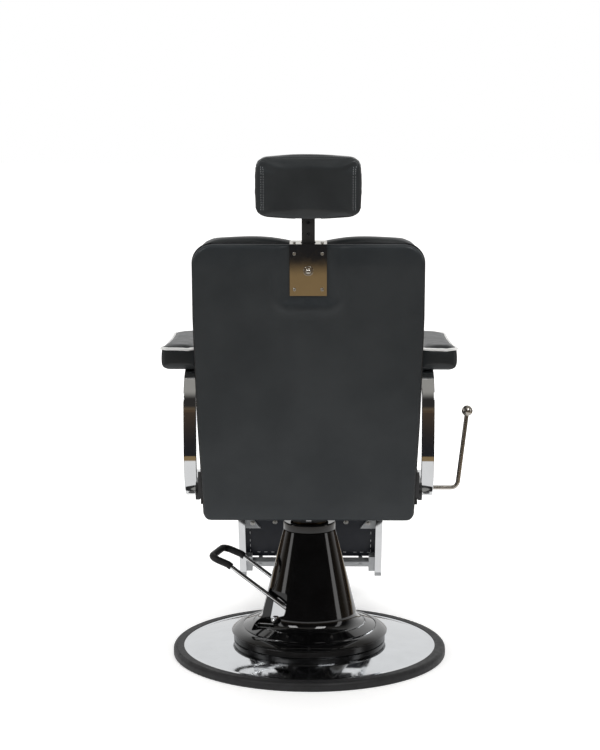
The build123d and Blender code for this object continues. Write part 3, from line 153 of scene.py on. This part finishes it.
def brushed(name, tint, rough=(0.22, 0.34), stretch=(3, 3, 90), metallic=1.0):
    s = Shader(name, tint, rough[0], metallic)
    lines = s.noise(18, 6, 0.7, stretch)
    s.colours(s.spread(lines, 0.3, 0.7, 0, 1), tint, tuple(c * 0.82 for c in tint))
    s.roughness(lines, *rough)
    s.bump(lines, 0.00004, 0.5)
    return s.material


def paint(name, colour, rough=(0.28, 0.42), orange_peel=0.5, metallic=0.0, coat=0.0):
    s = Shader(name, colour, rough[0], metallic, Coat_Weight=coat, Coat_Roughness=0.05)
    lighter = tuple(min(1, c * 1.25 + 0.002) for c in colour)
    s.colours(s.spread(s.noise(30, 4), 0.3, 0.7, 0, 1), colour, lighter)
    s.roughness(s.noise(40, 5), *rough)
    s.bump(s.noise(240, 2), 0.00006, orange_peel)
    return s.material


def rubber(name, colour, rough=(0.6, 0.78)):
    s = Shader(name, colour, rough[0], Specular_IOR_Level=0.35)
    s.colours(s.spread(s.noise(45, 6, 0.65), 0.3, 0.75, 0, 1), colour, tuple(c * 1.5 + 0.003 for c in colour))
    s.roughness(s.noise(120, 4), *rough)
    s.bump(s.noise(700, 4), 0.00012, 0.6)
    return s.material


def plywood(name, pale=(0.60, 0.44, 0.27), dark=(0.36, 0.23, 0.12)):
    s = Shader(name, pale, 0.6)
    rings = s.noise(4, 6, 0.6, (1.5, 22, 30))
    s.colours(s.spread(rings, 0.3, 0.7, 0, 1), dark, pale)
    s.roughness(rings, 0.55, 0.7)
    s.bump(rings, 0.0003, 0.4)
    return s.material


VINYL = vinyl("black_vinyl", (0.016, 0.0185, 0.020), (0.023, 0.026, 0.028), (0.30, 0.38))
VINYL_REAR = vinyl("black_vinyl_rear", (0.0135, 0.0175, 0.0205), (0.0195, 0.0235, 0.0265), (0.36, 0.46))
# Seam cords darker than the vinyl: their extra darkness is painted shade of the crevices and channel creases
# they sit in.
SEAM_SHADE = vinyl("seam_painted_shade", (0.003, 0.003, 0.0035), (0.005, 0.005, 0.006), (0.5, 0.6))
VINYL_NAVY = vinyl("navy_vinyl", (0.004, 0.006, 0.013), (0.007, 0.010, 0.019), (0.42, 0.52))
PIPING = vinyl("white_piping", (0.74, 0.74, 0.73), (0.80, 0.80, 0.79), (0.32, 0.42))
THREAD = rubber("pale_thread", (0.50, 0.51, 0.52), (0.7, 0.85))
THREAD_GREY = rubber("grey_thread", (0.20, 0.21, 0.22), (0.7, 0.85))
CHROME = chrome("chrome_mirror")
CHROME_DISC = chrome("chrome_disc", (0.80, 0.82, 0.84), (0.05, 0.10))
CHROME_PLATE = chrome("chrome_plate", (0.72, 0.69, 0.64), (0.03, 0.06))
NICKEL = brushed("satin_nickel", (0.62, 0.585, 0.53), (0.20, 0.30))
STEEL = brushed("machined_steel", (0.52, 0.52, 0.53), (0.25, 0.38))
ZINC = brushed("zinc_steel", (0.66, 0.65, 0.62), (0.22, 0.34), (8, 8, 8))
BRONZE = brushed("bearing_bronze", (0.55, 0.38, 0.18), (0.28, 0.40))
BRONZE_OILED = brushed("oiled_bronze", (0.09, 0.065, 0.035), (0.30, 0.42))
CASTING = paint("cast_iron_dark", (0.035, 0.036, 0.038), (0.5, 0.7), 1.0, 0.2)
BLACK_PAINT = paint("satin_black", (0.012, 0.012, 0.013), (0.26, 0.40), 0.5)
GREY_PAINT = paint("silver_grey", (0.40, 0.41, 0.42), (0.32, 0.45), 0.6, 0.35)
ALUMINIUM = brushed("cast_aluminium", (0.55, 0.56, 0.57), (0.35, 0.50), (6, 6, 6))
GLOSS = paint("gloss_black_shell", (0.0012, 0.0012, 0.0014), (0.06, 0.11), 0.10, 0.0, 0.6)
RING_BLACK = paint("moulded_ring", (0.006, 0.006, 0.0065), (0.16, 0.26), 0.3)
ENAMEL = paint("black_enamel", (0.010, 0.010, 0.011), (0.18, 0.28), 0.2)
RUBBER_EDGE = rubber("edge_rubber", (0.013, 0.013, 0.014), (0.42, 0.55))
RUBBER_GRIP = rubber("grip_rubber", (0.010, 0.010, 0.0105), (0.45, 0.6))
RUBBER_MAT = rubber("mat_rubber", (0.018, 0.018, 0.019))
BLACK_PLASTIC = paint("black_plastic", (0.012, 0.012, 0.012), (0.35, 0.5), 0.8)
PLYWOOD = plywood("black_stained_plywood", (0.017, 0.017, 0.018), (0.008, 0.008, 0.009))

NODE_MATERIALS = {
    RUBBER_EDGE: ("base_ring",),
    CASTING: ("base_plate", "pump_body", "seat_mount"),
    CHROME_DISC: ("base_disc",),
    RING_BLACK: ("skirt_ring",),
    GLOSS: ("skirt", "swivel_collar"),
    ZINC: ("pump_bolts", "frame_screws", "bracket_screws", "leg_bolts"),
    BRONZE: ("pump_gland", "recline_bushes"),
    BRONZE_OILED: ("thrust_washer",),
    STEEL: (
        "plunger_spring", "lever_rocker", "pump_plunger", "ram", "leg_shaft", "gas_spring_rod",
        "release_button", "release_cam", "recline_shaft",
    ),
    CHROME: ("lever_frame", "lever_shaft", "arm_bands", "leg_arms"),
    CHROME_PLATE: ("headrest_bracket",),
    NICKEL: ("recline_lever", "lever_ball", "lock_screw"),
    BLACK_PAINT: (
        "seat_frame", "side_plates", "link_bars", "back_hinge", "post_guide", "headrest_post",
        "headrest_hinge",
    ),
    ENAMEL: ("gas_spring_cylinder",),
    BLACK_PLASTIC: ("arm_plugs",),
    PLYWOOD: ("armrest_boards", "seat_board", "back_board", "headrest_board"),
    GREY_PAINT: ("leg_caps", "leg_brackets", "foot_crossbar"),
    ALUMINIUM: ("footplate",),
    RUBBER_MAT: ("footplate_mat",),
    VINYL_NAVY: ("calf_board",),
    VINYL: (
        "seat_cushion", "back_cushion", "back_panel", "armrest_left", "armrest_right", "headrest_pad",
        "headrest_back", "calf_pad",
    ),
    RUBBER_GRIP: ("lever_grip",),
}
for material, names in NODE_MATERIALS.items():
    for name in names:
        NODES[name].data.materials.clear()
        NODES[name].data.materials.append(material)


# ---------------------------------------------------------------- mesh helpers
def new_object(name, mesh, material, body, smooth=True):
    piece = bpy.data.objects.new(name, mesh)
    bpy.context.scene.collection.objects.link(piece)
    mesh.materials.clear()
    mesh.materials.append(material)
    if smooth:
        mesh.polygons.foreach_set("use_smooth", [True] * len(mesh.polygons))
    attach(piece, body)
    return piece


def apply_all(piece):
    """Apply every modifier of a piece."""
    evaluated = piece.evaluated_get(bpy.context.evaluated_depsgraph_get())
    mesh = bpy.data.meshes.new_from_object(evaluated)
    piece.modifiers.clear()
    old = piece.data
    piece.data = mesh
    bpy.data.meshes.remove(old)


def coordinates(mesh):
    values = np.empty(len(mesh.vertices) * 3)
    mesh.vertices.foreach_get("co", values)
    return values.reshape(-1, 3)


def set_coordinates(mesh, values):
    mesh.vertices.foreach_set("co", values.ravel())
    mesh.update()


def frame_of(origin, lean_degrees):
    """Matrix of a leaned sub-frame: its +Z runs up the leaned part."""
    return Matrix.Translation(origin) @ Matrix.Rotation(math.radians(-lean_degrees), 4, "X")


CLOTH_FRAMES = 20
CLOTH_PRESSURE = 4.0


def padded_from(
    node, body, to_local, swell, voxel=0.0055, flat_axis=None, flat_side=0, flat_band=0.004, pull=0.0,
    simulate=True,
):
    """Model a cushion from its CAD solid.

    The solid is remeshed, inflated as cloth with its fixed face held flat, and moved by `swell` at most.
    """
    source = NODES[node]
    mesh = source.data.copy()
    piece = new_object(node + "_cover", mesh, VINYL, body)
    remesh = piece.modifiers.new("remesh", "REMESH")
    remesh.mode = "VOXEL"
    remesh.voxel_size = voxel
    apply_all(piece)
    rest = coordinates(piece.data)
    inverse = np.array(to_local.inverted())
    local = rest @ inverse[:3, :3].T + inverse[:3, 3]
    if flat_axis is None:
        held = np.zeros(len(rest), bool)
    else:
        face = local[:, flat_axis].max() if flat_side > 0 else local[:, flat_axis].min()
        held = np.abs(local[:, flat_axis] - face) < flat_band
    normals = np.empty(len(rest) * 3)
    piece.data.vertex_normals.foreach_get("vector", normals)
    normals = normals.reshape(-1, 3)
    start = rest - normals * pull * ~held[:, None]
    set_coordinates(piece.data, start)
    if not simulate:
        moved = start
    else:
        group = piece.vertex_groups.new(name="held")
        group.add([int(i) for i in np.nonzero(held)[0]], 1.0, "REPLACE")
        cloth = piece.modifiers.new("cloth", "CLOTH")
        settings = cloth.settings
        settings.use_pressure = True
        settings.uniform_pressure_force = CLOTH_PRESSURE
        settings.effector_weights.gravity = 0.0
        settings.quality = 4
        settings.tension_stiffness = 12
        settings.bending_stiffness = 2.0
        if held.any():
            settings.vertex_group_mass = "held"
        cloth.collision_settings.use_collision = False
        cloth.point_cache.frame_start = 1
        cloth.point_cache.frame_end = CLOTH_FRAMES
        scene = bpy.context.scene
        for step in range(1, CLOTH_FRAMES + 1):
            scene.frame_set(step)
        apply_all(piece)
        moved = coordinates(piece.data)
        scene.frame_set(1)
    shift = moved - start
    reach = np.linalg.norm(shift, axis=1, keepdims=True)
    shift *= np.minimum(1.0, swell / np.maximum(reach, 1e-9))
    set_coordinates(piece.data, start + shift)
    smooth = piece.modifiers.new("smooth", "SMOOTH")
    smooth.factor = 0.5
    smooth.iterations = 4
    apply_all(piece)
    piece.data.polygons.foreach_set("use_smooth", [True] * len(piece.data.polygons))
    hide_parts(node)
    return piece


def surface_near(piece):
    """Nearest-point lookup on a piece's mesh, in the row frame."""
    mesh = piece.data
    return BVHTree.FromPolygons([v.co for v in mesh.vertices], [p.vertices for p in mesh.polygons])


def tube_along(name, points, radius, material, body, closed=True, seat=None, sink=0.35):
    """Piping: a round cord along points, laid onto a surface when one is given."""
    curve = bpy.data.curves.new(name, "CURVE")
    curve.dimensions = "3D"
    curve.bevel_depth = radius
    curve.bevel_resolution = 3
    spline = curve.splines.new("POLY")
    spline.points.add(len(points) - 1)
    for point, place in zip(spline.points, points):
        if seat:
            found, normal = seat.find_nearest(place)[:2]
            place = found + normal * radius * (1 - 2 * sink)
        point.co = (*place, 1)
    spline.use_cyclic_u = closed
    carrier = bpy.data.objects.new(name + "_path", curve)
    bpy.context.scene.collection.objects.link(carrier)
    bpy.context.view_layer.update()
    mesh = bpy.data.meshes.new_from_object(carrier.evaluated_get(bpy.context.evaluated_depsgraph_get()))
    bpy.data.objects.remove(carrier)
    mesh.name = name
    return new_object(name, mesh, material, body)


def stitches(name, points, material, body, seat=None, length=0.0045, gap=0.0025, radius=0.0006):
    """A run of short thread stitches along a path."""
    made = bmesh.new()
    run = 0.0
    for first, second in zip(points, points[1:]):
        span = (second - first).length
        along = (second - first).normalized()
        while run + length < span:
            middle = first + along * (run + length / 2)
            if seat:
                found, normal = seat.find_nearest(middle)[:2]
                middle = found + normal * radius * 0.4
                along_here = (along - normal * along.dot(normal)).normalized()
            else:
                along_here = along
            turn = Vector((0, 0, 1)).rotation_difference(along_here).to_matrix().to_4x4()
            shape = Matrix.Diagonal((radius, radius, length / 2, 1))
            bmesh.ops.create_uvsphere(
                made, u_segments=8, v_segments=6, radius=1.0, matrix=Matrix.Translation(middle) @ turn @ shape
            )
            run += length + gap
        run -= span
        run = max(run, 0.0)
    mesh = bpy.data.meshes.new(name)
    made.to_mesh(mesh)
    made.free()
    return new_object(name, mesh, material, body)


def rounded_loop(half_x, low, high, radius, steps=10):
    """Points of a rounded rectangle in (x, z)."""
    points = []
    corners = (
        (half_x - radius, high - radius, 0),
        (-half_x + radius, high - radius, 90),
        (-half_x + radius, low + radius, 180),
        (half_x - radius, low + radius, 270),
    )
    for x, z, start in corners:
        for step in range(steps + 1):
            angle = math.radians(start + 90 * step / steps)
            points.append((x + radius * math.cos(angle), z + radius * math.sin(angle)))
    return points


def dense(points, spacing=0.006, closed=True):
    """Resample a loop at an even spacing."""
    result = []
    pairs = list(zip(points, points[1:] + points[:1] if closed else points[1:]))
    for first, second in pairs:
        count = max(1, round((second - first).length / spacing))
        result += [first.lerp(second, i / count) for i in range(count)]
    if not closed:
        result.append(points[-1])
    return result


# ---------------------------------------------------------------- sub-frames of the leaned parts
BACK_FOOT = Vector((0, 0.300, 0.385))
BACK = frame_of(BACK_FOOT, 12)
HEAD_LEAN = 5
HEAD_PIVOT = Vector(JOINTS["headrest_tilt"]["pos_m"])
HEAD = frame_of(HEAD_PIVOT, HEAD_LEAN)
LEG = frame_of(Vector(JOINTS["leg_rest_hinge"]["pos_m"]), 30)
LEVEL = Matrix.Identity(4)


# ---------------------------------------------------------------- upholstery
def seat_cushion():
    pad = padded_from("seat_cushion", "seat", LEVEL, 0.012, 0.0075, 2, -1, 0.006, 0.004)
    low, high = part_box("seat_cushion")
    seat = surface_near(pad)
    inset = 0.004
    loop = rounded_loop(high.x - inset, low.y + inset, high.y - inset, 0.020)
    for name, z in (("seat_piping_top", high.z - 0.012), ("seat_piping_low", low.z + 0.010)):
        path = dense([Vector((x, y, z)) for x, y in loop])
        tube_along(name, path, 0.0026, PIPING, "seat", seat=seat)
    return pad


BRACKET_HALF = 0.0393
BRACKET_FOOT = 0.527
BACK_TOP = 0.638


def reshape(piece, to_local, move):
    """Move a piece's vertices in a leaned part's own axes: move(local) returns the new places."""
    mesh = piece.data
    local_to = np.array(to_local)
    to = np.array(to_local.inverted())
    local = coordinates(mesh) @ to[:3, :3].T + to[:3, 3]
    local = move(local)
    set_coordinates(mesh, local @ local_to[:3, :3].T + local_to[:3, 3])


def bell(values, width):
    return np.exp(-(values / width) ** 2)


def back_cushion():
    pad = padded_from("back_cushion", "back", BACK, 0.012, 0.0075, 1, 1, 0.034, 0.002)

    def pinch(local):
        """The top dips where the headrest's flange pulls it down, and crowns on both sides of it."""
        near_top = np.clip((local[:, 2] - (BACK_TOP - 0.07)) / 0.07, 0, 1) ** 2
        across = np.abs(local[:, 0])
        local[:, 2] += near_top * (0.005 * bell(across - 0.115, 0.075) - 0.010 * bell(across, 0.055))
        return local

    reshape(pad, BACK, pinch)
    seat = surface_near(pad)
    low, high = 0.075, 0.600
    # Channel lines: raised cords in the seam material along the channel creases; their dark colour is painted
    # shade of the creases.
    channels = np.linspace(low, high, 6)[1:-1]
    for index, height in enumerate(channels):
        path = [BACK @ Vector((x, -0.110, height)) for x in np.linspace(-0.205, 0.205, 60)]
        tube_along(f"back_channel_{index}", path, 0.0022, SEAM_SHADE, "back", closed=False, seat=seat, sink=0.6)
    return pad


def panel_outline(lift):
    """Edge of the back panel's front face, from its own mesh."""
    inverse = BACK.inverted()
    flat = [inverse @ v.co for v in NODES["back_panel"].data.vertices]
    flat = [(p.x, p.z) for p in flat]
    return [BACK @ Vector((flat[i][0], lift, flat[i][1])) for i in convex_hull_2d(flat)]


def back_panel():
    panel = padded_from(
        "back_panel", "back", BACK, 0.004, 0.0035, 1, -1, 0.004, 0.0, simulate=False,
    )

    def crown(local):
        """The padding swells between the edges and is held down around the bracket's plate."""
        x, y, z = local[:, 0], local[:, 1], local[:, 2]
        outer = np.clip(y / 0.0135 + 1, 0, 1)
        side = np.clip((0.240 - np.abs(x)) / 0.05, 0, 1)
        ends = np.clip(np.minimum(z, BACK_TOP - z) / 0.05, 0, 1)
        swell = 0.0055 * np.sin(side * math.pi / 2) * np.sin(ends * math.pi / 2)
        beside = np.maximum(np.abs(x) - BRACKET_HALF, 0)
        below = np.maximum(BRACKET_FOOT - z, 0)
        reach = np.hypot(beside, below)
        held = bell(reach, 0.017)
        at_corner = bell(beside - 0.014, 0.02) * bell(below - 0.010, 0.02)
        puff = 0.0016 * bell(reach - 0.028, 0.014) * (1 + at_corner)
        local[:, 1] = y + outer * (swell * (1 - held) + puff - 0.0004 * held)
        return local

    reshape(panel, BACK, crown)
    panel.data.materials.clear()
    panel.data.materials.append(VINYL_REAR)
    # Welt cord where the panel meets the cushion; its dark colour is painted shade of the crevice between
    # them.
    loop = dense(panel_outline(-0.0142), 0.006)
    tube_along("back_seam_painted_shade", loop, 0.0017, SEAM_SHADE, "back")
    return panel


def round_edge(values, centre_a, centre_b, axis_a, axis_b, sign_a, sign_b, radius):
    """Round the edge where two faces meet, by pulling what lies outside the radius back onto it."""
    a = (values[:, axis_a] - centre_a) * sign_a
    b = (values[:, axis_b] - centre_b) * sign_b
    out = np.hypot(a, b)
    corner = (a > 0) & (b > 0) & (out > radius)
    scale = np.where(corner, radius / np.maximum(out, 1e-9), 1.0)
    values[:, axis_a] = centre_a + sign_a * a * scale
    values[:, axis_b] = centre_b + sign_b * b * scale
    return values


def armrest(side):
    node = "armrest_left" if side > 0 else "armrest_right"
    pad = padded_from(node, "seat", LEVEL, 0.005, 0.004, 2, -1, 0.008, 0.002)
    low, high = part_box(node)
    sweep = 0.024

    def soften(values):
        outer_x = high.x if side > 0 else low.x
        values = round_edge(values, high.y - sweep, low.z + sweep, 1, 2, 1, -1, sweep)
        values = round_edge(values, outer_x - side * sweep, low.z + sweep, 0, 2, side, -1, sweep)
        return values

    reshape(pad, LEVEL, soften)
    seat = surface_near(pad)
    inner, outer = (low.x, high.x) if side > 0 else (-high.x, -low.x)
    taper, nose, inner_nose, heel = 0.013, 0.056, 0.012, 0.014
    front, rear = low.y, high.y
    corners = [
        (inner + inner_nose, front + inner_nose, inner_nose, 180, 270),
        (outer - taper - nose, front + nose, nose, 270, 358),
        (outer - heel, rear - heel, heel, 358, 450),
        (inner + heel, rear - heel, heel, 90, 180),
    ]
    points = []
    for x, y, radius, start, stop in corners:
        for step in range(11):
            angle = math.radians(start + (stop - start) * step / 10)
            across = side * (x + radius * math.cos(angle))
            points.append(Vector((across, y + radius * math.sin(angle), high.z - 0.004)))
    tube_along(node + "_piping", dense(points, 0.004), 0.0034, PIPING, "seat", seat=seat)
    return pad


def headrest():
    front = padded_from("headrest_pad", "headrest", HEAD, 0.007, 0.004, 1, 1, 0.003, 0.003)
    rear = padded_from("headrest_back", "headrest", HEAD, 0.004, 0.0035, 1, -1, 0.003, 0.0015)

    def pillow(local):
        """The sides bulge, the lower edge sags in the middle, and the corners are pushed out."""
        wide, tall, middle = 0.109, 0.064, 0.057
        x, z = local[:, 0] / wide, (local[:, 2] - middle) / tall
        local[:, 0] += np.sign(x) * np.abs(x) ** 4 * 0.0035 * (1 - np.clip(z, -1, 1) ** 2)
        sag = np.where(z < 0, 0.0065, 0.0020) * (1 - np.clip(x, -1, 1) ** 2)
        local[:, 2] += np.sign(z) * np.abs(z) ** 3 * sag
        local[:, 2] += np.where(z < 0, 0.0025, -0.0010) * np.abs(x) ** 3
        local[:, 2] = middle + (local[:, 2] - middle) * 0.955
        corner = np.clip(np.abs(x), 0, 1) ** 5 * np.clip(np.abs(z), 0, 1) ** 5
        local[:, 0] += np.sign(x) * corner * 0.004
        local[:, 2] += np.sign(z) * corner * 0.003
        return local

    for part in (front, rear):
        reshape(part, HEAD, pillow)
    seat = surface_near(rear)
    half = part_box("headrest_back")[1].x
    for side in (1, -1):
        for column in (0.009, 0.0145):
            low = HEAD @ Vector((side * (half - column), 0.025, 0.010))
            high = HEAD @ Vector((side * (half - column), 0.025, 0.104))
            path = dense([low, high], 0.02, closed=False)
            place = "left" if side > 0 else "right"
            name = f"headrest_stitch_{place}_{round(column * 1000)}"
            stitches(name, path, THREAD_GREY, "headrest", seat, 0.0032, 0.0020, 0.0005)
    return front, rear


def calf_rest():
    pad = padded_from("calf_pad", "leg_rest", LEG, 0.008, 0.0055, 1, 1, 0.004, 0.003)
    board_low, board_high = -0.330, -0.075
    rear = -0.015
    half = 0.182

    def at(x, z):
        return LEG @ Vector((x, rear + 0.0003, z))

    runs = {
        "left": (half - 0.026, board_low + 0.014, half - 0.026, board_high - 0.02),
        "right": (-half + 0.026, board_low + 0.014, -half + 0.026, board_high - 0.02),
        "low": (-half + 0.026, board_low + 0.014, half - 0.026, board_low + 0.014),
    }
    for name, (x0, z0, x1, z1) in runs.items():
        path = dense([at(x0, z0), at(x1, z1)], 0.03, closed=False)
        stitches("calf_stitch_" + name, path, THREAD, "leg_rest", None, 0.010, 0.008, 0.0009)
    return pad


seat_cushion()
back_cushion()
back_panel()
armrest(1)
armrest(-1)
headrest()
calf_rest()


# ---------------------------------------------------------------- floor, light and camera
FLOOR_PALE = (0.84, 0.84, 0.84)


def stage():
    """Pale floor that fades into the backdrop. For glossy rays only, the floor glows with a painted
    reflection: brown and near-black rings that mirror surfaces pick up past the sweep.
    """
    size = 30
    mesh = bpy.data.meshes.new("floor")
    corners = [(-size, -size, 0), (size, -size, 0), (size, size, 0), (-size, size, 0)]
    mesh.from_pydata(corners, [], [(0, 1, 2, 3)])
    floor = bpy.data.objects.new("floor", mesh)
    bpy.context.scene.collection.objects.link(floor)
    s = Shader("floor_pale", FLOOR_PALE, 0.7, Specular_IOR_Level=0.1)
    length = s.tree.nodes.new("ShaderNodeVectorMath")
    length.operation = "LENGTH"
    s.link(s.coords, length.inputs[0])
    radius = length.outputs["Value"]
    links = s.tree.links
    path = s.tree.nodes.new("ShaderNodeLightPath")
    # Painted reflection: rings of brown and near-black, glowing from the floor and seen only by glossy rays.
    painted_reflection = world_blend(s.tree, radius, 1.35, 1.55, (0.74, 0.74, 0.74), (0.235, 0.165, 0.085))
    painted_reflection = world_blend(s.tree, radius, 2.08, 2.20, painted_reflection, (0.016, 0.016, 0.018))
    painted_reflection = world_blend(s.tree, radius, 3.0, 4.5, painted_reflection, (0.075, 0.050, 0.032))
    mirror = s.tree.nodes.new("ShaderNodeEmission")
    links.new(painted_reflection, mirror.inputs["Color"])
    glow = s.spread(radius, 1.3, 2.4, 0.42, 1.0)
    s.shader.inputs["Emission Color"].default_value = (1, 1, 1, 1)
    s.link(glow, s.shader.inputs["Emission Strength"])
    # Glossy rays get the painted reflection glow; all other rays get the pale floor.
    pick = s.tree.nodes.new("ShaderNodeMixShader")
    links.new(path.outputs["Is Glossy Ray"], pick.inputs["Fac"])
    links.new(s.shader.outputs[0], pick.inputs[1])
    links.new(mirror.outputs[0], pick.inputs[2])
    links.new(pick.outputs[0], s.tree.nodes["Material Output"].inputs["Surface"])
    mesh.materials.append(s.material)


def area_light(name, place, target, size, power, colour=(1, 1, 1)):
    light = bpy.data.lights.new(name, "AREA")
    light.shape = "RECTANGLE"
    light.size, light.size_y = size
    light.energy = power
    light.color = colour
    lamp = bpy.data.objects.new(name, light)
    bpy.context.scene.collection.objects.link(lamp)
    lamp.location = place
    lamp.rotation_euler = (Vector(target) - Vector(place)).to_track_quat("-Z", "Y").to_euler()
    return lamp


def world_blend(tree, fac, low, high, first, second):
    """Colour that goes from first to second as fac goes from low to high."""
    ramp = tree.nodes.new("ShaderNodeMapRange")
    ramp.interpolation_type = "SMOOTHSTEP"
    ramp.inputs["From Min"].default_value = low
    ramp.inputs["From Max"].default_value = high
    tree.links.new(fac, ramp.inputs["Value"])
    mix = tree.nodes.new("ShaderNodeMix")
    mix.data_type = "RGBA"
    tree.links.new(ramp.outputs["Result"], mix.inputs["Factor"])
    for socket, colour in ((mix.inputs[6], first), (mix.inputs[7], second)):
        if isinstance(colour, tuple):
            socket.default_value = (*colour, 1)
        else:
            tree.links.new(colour, socket)
    return mix.outputs[2]


def lighting():
    """White sweep ahead of the chair, a darker room behind it, and soft boxes above and at the sides."""
    world = bpy.data.worlds.new("studio")
    bpy.context.scene.world = world
    world.use_nodes = True
    tree = world.node_tree
    coords = tree.nodes.new("ShaderNodeTexCoord").outputs["Generated"]
    split = tree.nodes.new("ShaderNodeSeparateXYZ")
    tree.links.new(coords, split.inputs[0])
    room = world_blend(tree, split.outputs["Z"], 0.0, 0.20, (0.10, 0.075, 0.05), (0.028, 0.026, 0.025))
    around = world_blend(tree, split.outputs["Y"], -0.80, -0.10, (0.78, 0.78, 0.78), room)
    above = world_blend(tree, split.outputs["Z"], 0.50, 0.85, around, (0.30, 0.29, 0.27))
    light = tree.nodes["Background"]
    tree.links.new(above, light.inputs["Color"])
    light.inputs["Strength"].default_value = 1.0
    seen = tree.nodes.new("ShaderNodeBackground")
    seen.inputs["Color"].default_value = (1, 1, 1, 1)
    seen.inputs["Strength"].default_value = 1.0
    pick = tree.nodes.new("ShaderNodeMixShader")
    tree.links.new(tree.nodes.new("ShaderNodeLightPath").outputs["Is Camera Ray"], pick.inputs["Fac"])
    tree.links.new(light.outputs[0], pick.inputs[1])
    tree.links.new(seen.outputs[0], pick.inputs[2])
    tree.links.new(pick.outputs[0], tree.nodes["World Output"].inputs["Surface"])
    area_light("key", (-1.8, 3.0, 3.2), (0, 0.2, 0.6), (1.6, 1.6), 46)
    area_light("fill", (2.4, 2.6, 2.6), (0, 0.1, 0.5), (1.4, 1.4), 30)
    top = area_light("top", (0, -0.4, 4.0), (0, -0.2, 0), (4.0, 4.0), 110)
    top.visible_glossy = False
    area_light("side_left", (2.6, 0.6, 1.1), (0, 0, 0.4), (0.6, 2.0), 5)
    area_light("side_right", (-2.6, 0.6, 1.1), (0, 0, 0.4), (0.6, 2.0), 5)


CAMERA_DISTANCE = 4.5
CAMERA_HEIGHT = 1.336
CAMERA_PITCH = 8.43
CAMERA_SIDE = 0.0225
CAMERA_YAW = 0.68
SENSOR_MM = 36
LENS_MM = 92.88


def camera():
    data = bpy.data.cameras.new("camera")
    data.sensor_width = SENSOR_MM
    data.lens = LENS_MM
    data.clip_end = 100
    eye = bpy.data.objects.new("camera", data)
    bpy.context.scene.collection.objects.link(eye)
    turn = Matrix.Rotation(math.radians(CAMERA_YAW), 4, "Z")
    place = Matrix.Translation((CAMERA_SIDE, CAMERA_DISTANCE, CAMERA_HEIGHT))
    look = Matrix.Rotation(math.pi, 4, "Z") @ Matrix.Rotation(math.radians(90 - CAMERA_PITCH), 4, "X")
    eye.matrix_world = turn @ place @ look
    bpy.context.scene.camera = eye


stage()
lighting()
camera()
bpy.context.scene.view_settings.view_transform = "Standard"
